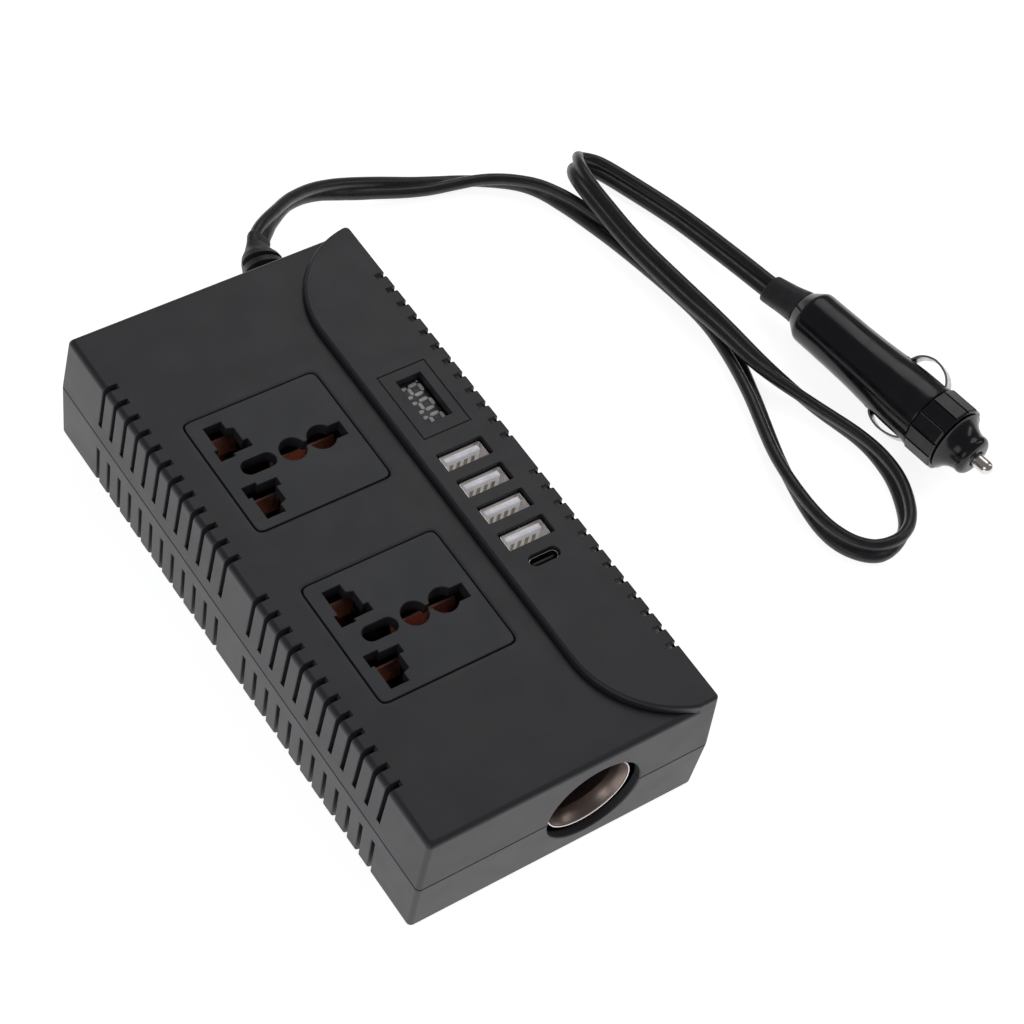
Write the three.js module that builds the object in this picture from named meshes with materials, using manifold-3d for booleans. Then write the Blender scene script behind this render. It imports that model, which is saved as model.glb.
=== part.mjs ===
// Car power inverter with two universal outlets, USB ports, a display, a lighter socket and a plug
// on a flat cord. Millimetres, +Z up, front (lighter socket) at -Y, cord leaves at +Y, origin at
// the middle of the case's underside.
import * as THREE from 'three';
import { mergeVertices } from 'three/addons/utils/BufferGeometryUtils.js';
import Module from 'manifold-3d';

const wasm = await Module();
wasm.setup();

// ---- case -------------------------------------------------------------------
const CASE_AT = [0.7, 0.5];
const SEAM_HALF_X = 45.2;
const SEAM_HALF_Y = 90.0;
const SEAM_Z = 20;
const SEAM_GAP = 0.2;
const TOP_Z = 39.5;
const PANEL_Z = 41.8;
const TOP_INSET_X = 1.0;
const TOP_INSET_Y = 0.7;
const BOTTOM_INSET = 0.6;
const WALL = 2.4;
const CORNER_R = 1.4;
const EDGE_R = 1.6;
const PANEL_LEFT_X = 17.7;
const PANEL_CURVE_R = 29.5;
const PANEL_CURVE_Y = 60.5;

// ---- vents: two groups of twelve on each long side, above and below the seam --
const SLOT_W = 1.5;
const SLOT_FIRST_Y = 7.0;
const SLOT_PITCH = 5.71;
const SLOT_COUNT = 12;
const SLOT_SEAM_GAP = 4.8;
const SLOT_INNER_LEFT = 39.4;
const SLOT_INNER_RIGHT = 41.4;
const SLOT_RIB_X = 44.6;
const SLOT_RIB_Z = 38.4;

// ---- outlets ------------------------------------------------------------------
const OUTLET_X = -10.6;
const OUTLET_YS = [30.7, -28.8];
const PLATE_X = 40.7;
const PLATE_AT_X = -10.9;
const PLATE_Y = 39.4;
const PLATE_GAP = 0.3;
const PLATE_CUT = 1.7;
const HOLE_AXIS_Y = -0.3;
const COPPER_T = 0.6;

// ---- ports --------------------------------------------------------------------
const PORT_X = 29.5;
const USB_A_YS = [6.7, -3.0, -12.75, -22.5];
const USB_A_OPENING = [14.4, 6.1];
const USB_A_SHELL = [13.2, 5.6];
const USB_C_Y = -31.1;
const USB_C_OPENING = [9.3, 3.6];
const USB_C_SHELL = [8.9, 3.2];
const PORT_BOARD_Z = 26;
const BOARD_T = 1.6;
const DISPLAY_WINDOW = { x0: 26.0, x1: 33.8, y0: 19.7, y1: 35.4 };
const DISPLAY_FRAME = { x0: 22.1, x1: 37.5, y0: 15.3, y1: 39.2 };
const ENGRAVE = 0.5;

// ---- lighter socket -------------------------------------------------------------
const SOCKET_X = 9.2;
const SOCKET_HOLE_R = 14.3;
const SOCKET_BORE_R = 10.75;
const SOCKET_LIP_R = 12.7;
const SOCKET_LIP_Y = -86.8;
const SOCKET_DEPTH = 38.3;

// ---- fan, inside the back wall ---------------------------------------------------
const FAN_X = -18;
const FAN_Z = 20;
const FAN_SIDE = 30;
const FAN_Y0 = 75.6;
const FAN_Y1 = 85.6;

// ---- cord: centre line and the lean of its flat side in degrees -------------------
const BOOT_X = 25;
const CORD_W = 7.0;
const CORD_T = 3.6;
const CORD_ROUTE = [
  [30.7, 111.3, 20, 145], [34.5, 114.9, 19.2, 131], [41.3, 119.9, 17, 97], [50.7, 125.3, 14.1, 81],
  [62.3, 127.8, 10.4, 93], [77.8, 125.6, 6.4, 143], [94.9, 120.9, 3.6, 179], [113.3, 115.1, 3.3, 234],
  [125.2, 107, 3.6, 257], [131.8, 96.2, 3.5, 293], [137.2, 81.1, 2.7, 335], [141.4, 62.9, 2.2, 355],
  [144.4, 42, 2.2, 365], [143.4, 27, 2.4, 375], [138.7, 9.2, 3, 399], [130.9, -14.8, 3.3, 413],
  [127.7, -34.7, 3.6, 450], [129.4, -46.5, 3.5, 480], [135.4, -53.8, 3.5, 492],
  [143.5, -54.6, 3.6, 452], [150.7, -50.5, 3.5, 434], [156, -41.3, 3.5, 425], [158.2, -31.5, 3.6, 441],
  [157.4, -19.7, 3.6, 464], [152.2, -2.7, 3.6, 482], [145.9, 14, 6.4, 520], [143.6, 32.2, 6.8, 540],
  [141, 50.4, 7, 562], [138.7, 69.9, 7.4, 560], [137.3, 86.1, 9.4, 560], [137, 94.6, 10.4, 565],
  [138.6, 101, 9.3, 590], [142, 105.8, 6.6, 620], [144.9, 107, 4.3, 650], [149.8, 103.2, 3.2, 672],
  [154.8, 91.2, 3.1, 680], [160.3, 74.8, 3.3, 682], [163.4, 54.6, 5.5, 682], [165.6, 37.4, 7.4, 682],
];

// ---- plug: lies on the floor; its own z axis runs from the shoulder to the tip ------
const PLUG_AT = new THREE.Vector3(168.8, 22.15, 9.35);
const PLUG_AXIS = new THREE.Vector3(0.128, -0.991, 0.037).normalize();
const PLUG_SIDE = new THREE.Vector3(0.762, 0.116, 0.637);
const COLLAR_RIBS = 14;
const LOWER_BOW = 0.62;

const group = new THREE.Group();

// ---- helpers ------------------------------------------------------------------------
function weld(geometry) {
  const plain = new THREE.BufferGeometry();
  plain.setAttribute('position', geometry.getAttribute('position').clone());
  if (geometry.index) plain.setIndex(geometry.index.clone());
  return mergeVertices(plain, 1e-5);
}

function solidOf(geometry) {
  const g = weld(geometry);
  return new wasm.Manifold(new wasm.Mesh({
    numProp: 3,
    vertProperties: new Float32Array(g.getAttribute('position').array),
    triVerts: new Uint32Array(g.index.array),
  }));
}

function geometryOf(solid) {
  const mesh = solid.getMesh();
  const g = new THREE.BufferGeometry();
  g.setAttribute('position', new THREE.BufferAttribute(Float32Array.from(mesh.vertProperties), 3));
  g.setIndex(new THREE.BufferAttribute(Uint32Array.from(mesh.triVerts), 1));
  g.computeVertexNormals();
  return g;
}

function add(name, body) {
  const geometry = body.isBufferGeometry ? weld(body) : geometryOf(body);
  geometry.computeVertexNormals();
  const mesh = new THREE.Mesh(geometry);
  mesh.name = name;
  group.add(mesh);
}

// rings of equal length, joined into one closed skin with flat ends
function loft(rings) {
  const n = rings[0].length;
  const points = rings.flat();
  const index = [];
  for (let k = 0; k < rings.length - 1; k++) {
    for (let i = 0; i < n; i++) {
      const j = (i + 1) % n;
      const a = k * n + i;
      const b = k * n + j;
      index.push(a, b, b + n, a, b + n, a + n);
    }
  }
  const last = (rings.length - 1) * n;
  for (let i = 1; i < n - 1; i++) {
    index.push(0, i + 1, i);
    index.push(last, last + i, last + i + 1);
  }
  const g = new THREE.BufferGeometry().setFromPoints(points);
  let volume = 0;
  for (let i = 0; i < index.length; i += 3) {
    const [a, b, c] = [points[index[i]], points[index[i + 1]], points[index[i + 2]]];
    volume += a.dot(b.clone().cross(c));
  }
  if (volume < 0) {
    for (let i = 0; i < index.length; i += 3) [index[i], index[i + 1]] = [index[i + 1], index[i]];
  }
  g.setIndex(index);
  return g;
}

function roundRect(halfX, halfY, r, steps = 4) {
  const points = [];
  const corners = [[1, 1, 0], [-1, 1, 90], [-1, -1, 180], [1, -1, 270]];
  for (const [sx, sy, start] of corners) {
    for (let k = 0; k <= steps; k++) {
      const a = THREE.MathUtils.degToRad(start + (90 * k) / steps);
      points.push([sx * (halfX - r) + r * Math.cos(a), sy * (halfY - r) + r * Math.sin(a)]);
    }
  }
  return points;
}

function ringAt(points, z, x = 0, y = 0) {
  return points.map(([px, py]) => new THREE.Vector3(px + x, py + y, z));
}

function box(x0, x1, y0, y1, z0, z1) {
  const g = new THREE.BoxGeometry(x1 - x0, y1 - y0, z1 - z0);
  g.translate((x0 + x1) / 2, (y0 + y1) / 2, (z0 + z1) / 2);
  return solidOf(g);
}

function boxAt(x, y, sx, sy, z0, z1) {
  return box(x - sx / 2, x + sx / 2, y - sy / 2, y + sy / 2, z0, z1);
}

function prism(points, z0, z1, x = 0, y = 0) {
  const shape = new THREE.Shape(points.map(([px, py]) => new THREE.Vector2(px + x, py + y)));
  const g = new THREE.ExtrudeGeometry(shape, { depth: z1 - z0, bevelEnabled: false });
  g.translate(0, 0, z0);
  return solidOf(g);
}

// profile of [radius, height] turned about +Z; closed on itself when it leaves the axis clear
function turned(profile, sides = 24) {
  const points = profile.map(([r, z]) => new THREE.Vector2(r, z));
  if (profile[0][0] > 0) points.push(points[0].clone());
  const g = new THREE.LatheGeometry(points, sides);
  g.rotateX(Math.PI / 2);
  const welded = weld(g);
  const index = Array.from(welded.index.array);
  const keep = [];
  for (let i = 0; i < index.length; i += 3) {
    const [a, b, c] = index.slice(i, i + 3);
    if (a !== b && b !== c && a !== c) keep.push(a, b, c);
  }
  welded.setIndex(keep);
  const p = welded.getAttribute('position');
  const v = [0, 1, 2].map(() => new THREE.Vector3());
  let volume = 0;
  for (let i = 0; i < keep.length; i += 3) {
    v.forEach((w, k) => w.fromBufferAttribute(p, keep[i + k]));
    volume += v[0].dot(v[1].clone().cross(v[2]));
  }
  if (volume < 0) {
    for (let i = 0; i < keep.length; i += 3) [keep[i], keep[i + 1]] = [keep[i + 1], keep[i]];
    welded.setIndex(keep);
  }
  return welded;
}

function cylinder(r, z0, z1, x, y, sides = 20) {
  const g = turned([[0, z0], [r, z0], [r, z1], [0, z1]], sides);
  g.translate(x, y, 0);
  return solidOf(g);
}

// turned about an axis along +Y that passes through x, z
function turnedAlongY(profile, x, z, sides = 28) {
  const g = turned(profile, sides);
  g.rotateX(-Math.PI / 2);
  g.translate(x, 0, z);
  return solidOf(g);
}

function union(list) {
  return list.reduce((a, b) => a.add(b));
}

// ---- shells ---------------------------------------------------------------------------
function caseHalf(z) {
  const k = z >= SEAM_Z ? (z - SEAM_Z) / (TOP_Z - SEAM_Z) : (SEAM_Z - z) / SEAM_Z;
  const insetX = z >= SEAM_Z ? TOP_INSET_X : BOTTOM_INSET;
  const insetY = z >= SEAM_Z ? TOP_INSET_Y : BOTTOM_INSET;
  return [SEAM_HALF_X - insetX * k, SEAM_HALF_Y - insetY * k];
}

function shellLoft(z0, z1, inset, edgeAt) {
  const rings = [];
  const levels = [];
  const steps = 3;
  if (edgeAt === 'top') levels.push([z0, 0]);
  for (let k = 0; k <= steps; k++) {
    const a = (Math.PI / 2) * (k / steps);
    const pull = EDGE_R * (1 - Math.cos(a));
    const rise = EDGE_R * (1 - Math.sin(a));
    if (edgeAt === 'top') levels.push([z1 - rise, pull]);
    if (edgeAt === 'bottom') levels.unshift([z0 + rise, pull]);
  }
  if (edgeAt === 'bottom') levels.push([z1, 0]);
  for (const [z, pull] of levels) {
    const [hx, hy] = caseHalf(z);
    const r = Math.max(1, CORNER_R - inset - pull * 0.5);
    const outline = roundRect(hx - inset - pull, hy - inset - pull, r);
    rings.push(ringAt(outline.map(([x, y]) => [x + CASE_AT[0], y + CASE_AT[1]]), z));
  }
  return solidOf(loft(rings));
}

function insetPolygon(points, d) {
  return points.map((p, i) => {
    const a = points[(i + points.length - 1) % points.length];
    const b = points[(i + 1) % points.length];
    const n1 = new THREE.Vector2(p[1] - a[1], a[0] - p[0]).normalize();
    const n2 = new THREE.Vector2(b[1] - p[1], p[0] - b[0]).normalize();
    const m = n1.clone().add(n2).normalize();
    const k = d / Math.max(0.5, m.dot(n1));
    return [p[0] - m.x * k, p[1] - m.y * k];
  });
}

// outline of the raised panel, anticlockwise, at height z
function panelOutline(z) {
  const [hx, hy] = caseHalf(z).map((v) => v - 0.1);
  const points = [];
  const r = CORNER_R - 0.1;
  for (const [sy, start] of [[-1, 270], [1, 0]]) {
    for (let k = 0; k <= 4; k++) {
      const a = THREE.MathUtils.degToRad(start + 22.5 * k);
      points.push([CASE_AT[0] + hx - r + r * Math.cos(a), CASE_AT[1] + sy * (hy - r) + r * Math.sin(a)]);
    }
  }
  const back = Math.asin((hy + CASE_AT[1] - PANEL_CURVE_Y) / PANEL_CURVE_R);
  const front = Math.asin((hy - CASE_AT[1] - PANEL_CURVE_Y) / PANEL_CURVE_R);
  const cx = PANEL_LEFT_X + PANEL_CURVE_R;
  for (let k = 0; k <= 8; k++) {
    const a = back * (1 - k / 8);
    points.push([cx - PANEL_CURVE_R * Math.cos(a), PANEL_CURVE_Y + PANEL_CURVE_R * Math.sin(a)]);
  }
  for (let k = 0; k <= 8; k++) {
    const a = front * (k / 8);
    points.push([cx - PANEL_CURVE_R * Math.cos(a), -PANEL_CURVE_Y - PANEL_CURVE_R * Math.sin(a)]);
  }
  return points;
}

function panelSolid() {
  const rings = [ringAt(panelOutline(37), 37)];
  const steps = 3;
  const edge = 0.9;
  for (let k = 0; k <= steps; k++) {
    const a = (Math.PI / 2) * (k / steps);
    const z = PANEL_Z - edge * (1 - Math.sin(a));
    rings.push(ringAt(insetPolygon(panelOutline(z), edge * (1 - Math.cos(a))), z));
  }
  return solidOf(loft(rings));
}

// The upper slots on the panel's side are closed by a short rib at the case's top edge.
function slots(z0, z1) {
  const list = [];
  for (const side of [-1, 1]) {
    const inner = side < 0 ? SLOT_INNER_LEFT : SLOT_INNER_RIGHT;
    const ribbed = side > 0 && z1 > PANEL_Z;
    for (const end of [-1, 1]) {
      for (let k = 0; k < SLOT_COUNT; k++) {
        const y = end * (SLOT_FIRST_Y + k * SLOT_PITCH);
        const xs = side < 0 ? [-47, -inner] : [inner, 47];
        list.push(box(xs[0], xs[1], y - SLOT_W / 2, y + SLOT_W / 2, z0, ribbed ? SLOT_RIB_Z : z1));
        if (ribbed) list.push(box(inner, SLOT_RIB_X, y - SLOT_W / 2, y + SLOT_W / 2, z0, z1));
      }
    }
  }
  return union(list);
}

const SCREW_AT = [[-37.5, -82], [37.5, -82], [-37.5, 82], [37.5, 82]];
const frontHole = turnedAlongY([
  [0, -95], [SOCKET_HOLE_R, -95], [SOCKET_HOLE_R, -82], [0, -82],
], SOCKET_X, SEAM_Z, 36);
const backHole = turnedAlongY([[0, 84], [4.8, 84], [4.8, 95], [0, 95]], BOOT_X, SEAM_Z, 24);
const fanGrille = union([-11, -6.6, -2.2, 2.2, 6.6, 11].map((dx) => {
  const h = Math.sqrt(13.4 ** 2 - dx ** 2);
  return box(FAN_X + dx - 1.1, FAN_X + dx + 1.1, 84, 95, FAN_Z - h, FAN_Z + h);
}));

const plateOutline = (grow) => {
  const [x, y, c] = [PLATE_X / 2 + grow, PLATE_Y / 2 + grow, PLATE_CUT];
  return [
    [x, y - c], [x - c, y], [-x + c, y], [-x, y - c],
    [-x, -y + c], [-x + c, -y], [x - c, -y], [x, -y + c],
  ];
};

let top = shellLoft(SEAM_Z + SEAM_GAP / 2, TOP_Z, 0, 'top').add(panelSolid());
top = top.subtract(shellLoft(SEAM_Z - 1, TOP_Z - WALL, WALL, 'top'));
top = top.subtract(box(20.6, 40.9, -57, 57, 30, PANEL_Z - WALL));
for (const [x, y] of SCREW_AT) {
  top = top.add(cylinder(3.4, SEAM_Z + SEAM_GAP / 2, TOP_Z - 1, x, y, 16));
  top = top.subtract(cylinder(1.55, SEAM_Z - 1, 33, x, y, 12));
}
top = top.subtract(slots(SEAM_Z + SLOT_SEAM_GAP, 45));
for (const y of OUTLET_YS) top = top.subtract(prism(plateOutline(PLATE_GAP), 30, 45, PLATE_AT_X, y));
for (const y of USB_A_YS) top = top.subtract(boxAt(PORT_X, y, ...USB_A_OPENING, 30, 45));
const usbCOutline = roundRect(USB_C_OPENING[0] / 2, USB_C_OPENING[1] / 2, 1.7);
top = top.subtract(prism(usbCOutline, 30, 45, PORT_X, USB_C_Y));
const w = DISPLAY_WINDOW;
top = top.subtract(box(w.x0, w.x1, w.y0, w.y1, 30, 45));
const f = DISPLAY_FRAME;
const engraved = box(f.x0, f.x1, f.y0, f.y1, PANEL_Z - 0.3, 45)
  .subtract(box(f.x0 + ENGRAVE, f.x1 - ENGRAVE, f.y0 + ENGRAVE, f.y1 - ENGRAVE, 30, 46));
top = top.subtract(engraved).subtract(frontHole).subtract(backHole).subtract(fanGrille);
add('top_shell', top);

const BOARD_POSTS = [[-34, -40], [-34, 45], [34, -60], [34, 45]];
let bottom = shellLoft(0, SEAM_Z - SEAM_GAP / 2, 0, 'bottom');
bottom = bottom.subtract(shellLoft(WALL, SEAM_Z + 1, WALL, 'bottom'));
for (const [x, y] of SCREW_AT) {
  bottom = bottom.add(cylinder(3.8, 1, SEAM_Z - SEAM_GAP / 2, x, y, 16));
  bottom = bottom.subtract(cylinder(3.0, -1, 3.2, x, y, 16)).subtract(cylinder(1.65, 2, 25, x, y, 12));
}
for (const [x, y] of BOARD_POSTS) bottom = bottom.add(cylinder(2.6, 1, 4.9, x, y, 12));
bottom = bottom.subtract(slots(-5, SEAM_Z - SLOT_SEAM_GAP));
bottom = bottom.subtract(frontHole).subtract(backHole).subtract(fanGrille);
add('bottom_shell', bottom);

SCREW_AT.forEach(([x, y], i) => {
  const g = turned([[0, 0.9], [2.8, 0.9], [2.8, 3.1], [1.45, 3.1], [1.45, 31], [0, 32]], 12);
  g.translate(x, y, 0);
  add(`case_screw_${i + 1}`, g);
});

// ---- outlets --------------------------------------------------------------------------
const bladeHole = [
  [-16.3, 16.5], [-16.3, 8.7], [-17.4, 8.7], [-17.4, 5.0], [-13.2, 5.0], [-13.2, 6.0], [-7.4, 6.0],
  [-7.4, 8.5], [-8.9, 8.5], [-8.9, 13.2], [-10.9, 13.9], [-10.9, 16.5],
];
const mirrored = bladeHole.map(([x, y]) => [x, -y]).reverse();
const oblong = roundRect(5.1, 2.4, 2.35, 5);
for (const [i, y] of OUTLET_YS.entries()) {
  const n = i + 1;
  const oy = y + HOLE_AXIS_Y;
  let face = prism(plateOutline(0), TOP_Z - WALL, TOP_Z, PLATE_AT_X, y);
  face = face.add(boxAt(PLATE_AT_X, y, PLATE_X + 3, PLATE_Y + 3, TOP_Z - WALL - 1.3, TOP_Z - WALL - 0.1)
    .add(prism(plateOutline(-0.5), TOP_Z - WALL - 1, TOP_Z - 1, PLATE_AT_X, y)));
  const holes = [
    prism(bladeHole, 30, 45, OUTLET_X, oy),
    prism(mirrored, 30, 45, OUTLET_X, oy),
    prism(oblong, 30, 45, OUTLET_X - 9.1, oy),
    cylinder(3.75, 30, 45, OUTLET_X + 1.4, oy, 20),
    cylinder(4.0, 30, 45, OUTLET_X + 10.3, oy, 20),
    boxAt(OUTLET_X + 6, oy, 6, 1.6, 30, 45),
    box(OUTLET_X + 12, OUTLET_X + 17.2, oy - 2.3, oy + 2.3, 30, 45),
  ];
  for (const hole of holes) face = face.subtract(hole);
  add(`outlet_face_${n}`, face);

  let body = boxAt(OUTLET_X, y, 38, 38, 18.8, 35.7);
  body = body.subtract(box(OUTLET_X - 18, OUTLET_X - 6.5, oy + 4.7, oy + 17.6, 20.3, 40));
  body = body.subtract(box(OUTLET_X - 18, OUTLET_X - 6.5, oy - 17.6, oy - 4.7, 20.3, 40));
  body = body.subtract(box(OUTLET_X - 15, OUTLET_X + 17.8, oy - 4.1, oy + 4.1, 20.3, 40));
  add(`outlet_body_${n}`, body);

  const clip = (x0, x1, y0, y1) => {
    const mid = (y0 + y1) / 2;
    const half = (y1 - y0) / 2;
    const t = COPPER_T;
    const throat = Math.max(half * 0.35, 1.2);
    const outer = [[half, 20.6], [half, 25], [throat + t, 29.5], [half * 0.85, 33.6]];
    const inner = [[half * 0.85 - t, 33.6], [throat, 29.4], [half - t, 24.8], [half - t, 20.6 + t]];
    const right = [...outer, ...inner];
    const left = right.map(([a, b]) => [-a, b]).reverse();
    const g = new THREE.ExtrudeGeometry(
      new THREE.Shape([...right, ...left].map(([a, b]) => new THREE.Vector2(a + mid, b))),
      { depth: x1 - x0, bevelEnabled: false },
    );
    g.applyMatrix4(new THREE.Matrix4().makeBasis(
      new THREE.Vector3(0, 1, 0), new THREE.Vector3(0, 0, 1), new THREE.Vector3(1, 0, 0)));
    g.translate(x0, 0, 0);
    return g;
  };
  add(`contact_line_${n}`, clip(OUTLET_X - 17.4, OUTLET_X - 7.2, oy + 5.4, oy + 16.8));
  add(`contact_neutral_${n}`, clip(OUTLET_X - 17.4, OUTLET_X - 7.2, oy - 16.8, oy - 5.4));
  add(`contact_earth_${n}`, clip(OUTLET_X - 3.5, OUTLET_X + 16.5, oy - 3.8, oy + 3.8));
}

// ---- USB ports, display and their board ---------------------------------------------------
for (const [i, y] of USB_A_YS.entries()) {
  const [sx, sy] = USB_A_SHELL;
  const z0 = PORT_BOARD_Z + BOARD_T + 0.1;
  let shell = boxAt(PORT_X, y, sx, sy, z0, PANEL_Z - 1.3);
  shell = shell.subtract(boxAt(PORT_X, y, sx - 0.7, sy - 0.7, z0 + 0.6, 45));
  add(`usb_a_shell_${i + 1}`, shell);
  const tongue = boxAt(PORT_X, y + 1.15, 11.2, 1.8, z0 + 0.7, PANEL_Z - 1.6)
    .add(boxAt(PORT_X, y, 12.2, 4.6, z0 + 0.7, z0 + 4.2));
  add(`usb_a_tongue_${i + 1}`, tongue);
}
{
  const z0 = PORT_BOARD_Z + BOARD_T + 0.1;
  const [sx, sy] = USB_C_SHELL;
  const outer = prism(roundRect(sx / 2, sy / 2, sy / 2 - 0.02), z0, PANEL_Z - 1.1, PORT_X, USB_C_Y);
  const inner = prism(roundRect(sx / 2 - 0.28, sy / 2 - 0.28, sy / 2 - 0.32), z0 + 0.6, 45, PORT_X, USB_C_Y);
  add('usb_c_shell', outer.subtract(inner));
  const tongue = boxAt(PORT_X, USB_C_Y, 6.6, 0.8, z0 + 0.7, PANEL_Z - 1.8)
    .add(boxAt(PORT_X, USB_C_Y, 6.9, 2.3, z0 + 0.7, z0 + 5));
  add('usb_c_tongue', tongue);
}
add('port_board', box(19, 40.4, -46, 42, PORT_BOARD_Z, PORT_BOARD_Z + BOARD_T));
add('display_module', box(
  w.x0 - 2, w.x1 + 2, w.y0 - 2, w.y1 + 2, PORT_BOARD_Z + BOARD_T + 0.1, PANEL_Z - WALL - 0.5,
));

// ---- lighter socket -------------------------------------------------------------------------
{
  const y0 = SOCKET_LIP_Y;
  const y1 = SOCKET_LIP_Y + SOCKET_DEPTH;
  const [bore, lip] = [SOCKET_BORE_R, SOCKET_LIP_R];
  add('socket_cup', turnedAlongY([
    [lip, y0], [lip, y0 + 0.5], [bore + 0.9, y0 + 2.6], [bore + 0.5, y0 + 4.2], [bore + 0.5, y1],
    [6.5, y1], [6.5, y1 - 0.6], [bore, y1 - 0.6], [bore, y0 + 4], [bore + 0.5, y0 + 2.2],
    [lip - 0.5, y0],
  ], SOCKET_X, SEAM_Z, 32));
  add('socket_insulator', turnedAlongY([
    [2.2, y1 - 4.5], [bore - 0.3, y1 - 4.5], [bore - 0.3, y1 - 0.7], [2.2, y1 - 0.7],
  ], SOCKET_X, SEAM_Z, 24));
  add('socket_contact', turnedAlongY([
    [0, y1 - 7.4], [2.6, y1 - 7.0], [3.4, y1 - 5.6], [3.4, y1 - 4.6], [2.1, y1 - 4.6], [2.1, y1 - 0.2],
    [0, y1 - 0.2],
  ], SOCKET_X, SEAM_Z, 16));
}

// ---- main board and what stands on it ----------------------------------------------------------
const BOARD_Z = 5;
const ON_BOARD = BOARD_Z + BOARD_T + 0.05;
add('main_board', box(-38, 38, -76, 73, BOARD_Z, BOARD_Z + BOARD_T));
{
  const [x, y, z] = [25.5, -28, 9];
  let core = box(x - 6, x + 6, y - 14, y + 14, z, z + 16);
  for (const dy of [-7.25, 7.25]) {
    core = core.subtract(box(x - 7, x + 7, y + dy - 2.75, y + dy + 2.75, z + 4, z + 12));
  }
  add('transformer_core', core);
  const winding = box(x - 11.4, x + 11.4, y - 9.6, y + 9.6, z + 4.3, z + 11.7)
    .subtract(box(x - 6.3, x + 6.3, y - 4.8, y + 4.8, z, z + 20));
  add('transformer_winding', winding);
}
add('output_capacitor', turnedAlongY([
  [0, 8], [8.6, 8], [9, 8.6], [9, 35.5], [8.4, 36.3], [9, 37.1], [9, 39.4], [8.4, 40], [0, 40],
], 27, ON_BOARD + 9.05, 20));
for (const [i, x] of [-2, 12].entries()) {
  const g = turned([
    [0, ON_BOARD], [4.9, ON_BOARD], [4.9, ON_BOARD + 1.6], [4.5, ON_BOARD + 2.4], [4.9, ON_BOARD + 3.2],
    [4.9, ON_BOARD + 19.4], [4.4, ON_BOARD + 20], [0, ON_BOARD + 20],
  ], 20);
  g.translate(x, 62, 0);
  add(`input_capacitor_${i + 1}`, g);
}
{
  let sink = box(-38.6, -36.3, -45, 45, ON_BOARD, 30);
  for (let k = 0; k < 6; k++) sink = sink.add(box(-41.4, -38.4, -45, 45, 10 + k * 3.6, 11.2 + k * 3.6));
  add('heat_sink', sink);
}
for (const [i, y] of [-36, -12, 12, 36].entries()) {
  let part = box(-36.2, -31.8, y - 5, y + 5, 11, 20).add(box(-36.2, -35, y - 5, y + 5, 19.9, 26));
  for (const dy of [-2.54, 0, 2.54]) {
    part = part.add(box(-34.6, -33.8, y + dy - 0.4, y + dy + 0.4, ON_BOARD, 12));
  }
  add(`transistor_${i + 1}`, part);
}

// ---- fan --------------------------------------------------------------------------------------
{
  let frame = box(FAN_X - 15, FAN_X + 15, FAN_Y0, FAN_Y1, FAN_Z - 15, FAN_Z + 15);
  frame = frame.subtract(turnedAlongY([[0, 70], [13.8, 70], [13.8, 90], [0, 90]], FAN_X, FAN_Z, 32));
  frame = frame.add(turnedAlongY([[0, 84], [6, 84], [6, FAN_Y1], [0, FAN_Y1]], FAN_X, FAN_Z, 20));
  frame = frame.add(turnedAlongY([[0, 79], [1.2, 79], [1.2, 85], [0, 85]], FAN_X, FAN_Z, 16));
  frame = frame.add(box(FAN_X - 14, FAN_X + 14, 84.2, FAN_Y1, FAN_Z - 1, FAN_Z + 1));
  frame = frame.add(box(FAN_X - 1, FAN_X + 1, 84.2, FAN_Y1, FAN_Z - 14, FAN_Z + 14));
  for (const sx of [-1, 1]) {
    for (const sz of [-1, 1]) {
      frame = frame.subtract(turnedAlongY([[0, 70], [1.6, 70], [1.6, 90], [0, 90]],
        FAN_X + sx * 12, FAN_Z + sz * 12, 10));
    }
  }
  add('fan_frame', frame);

  let rotor = turnedAlongY([
    [0, 76], [5.8, 76], [6.4, 76.6], [6.4, 83.6], [1.26, 83.6], [1.26, 78.6], [0, 78.6],
  ], FAN_X, FAN_Z, 20);
  for (let k = 0; k < 7; k++) {
    const blade = new THREE.BoxGeometry(7.6, 6.4, 0.9);
    blade.rotateX(THREE.MathUtils.degToRad(38));
    blade.translate(9.2, 79.9, 0);
    blade.rotateY((2 * Math.PI * k) / 7);
    blade.translate(FAN_X, 0, FAN_Z);
    rotor = rotor.add(solidOf(blade));
  }
  add('fan_rotor', rotor);
}

// ---- cord boot at the back wall -------------------------------------------------------------------
// station: distance along the boot, centre x, half width, half thickness, lean of the section in degrees
const BOOT = [
  [83.9, 25, 6.6, 6.6, 0], [87.3, 25, 6.6, 6.6, 0], [87.4, 25, 4.5, 4.5, 0], [90.6, 25, 4.5, 4.5, 0],
  [90.7, 25, 7.0, 6.6, 0], [94.7, 25.3, 6.9, 6.4, 0], [94.9, 25.3, 5.2, 4.8, 0], [96.5, 25.6, 5.1, 4.7, 0],
  [96.7, 25.6, 6.8, 6.2, 0], [98.4, 26.0, 6.6, 6.0, 0], [98.6, 26.0, 4.9, 4.5, 0], [100.2, 26.4, 4.9, 4.4, 0],
  [100.4, 26.4, 6.4, 5.8, 0], [102.1, 26.9, 6.2, 5.6, 0], [102.3, 27.0, 4.8, 4.3, 0],
  [103.8, 27.5, 4.7, 4.2, 0],
  [104.0, 27.5, 6.0, 5.2, 0], [105.6, 28.1, 5.6, 4.6, -8], [107.2, 28.8, 4.7, 3.6, -22],
  [110.2, 29.9, 3.8, 2.3, -35],
];
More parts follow.
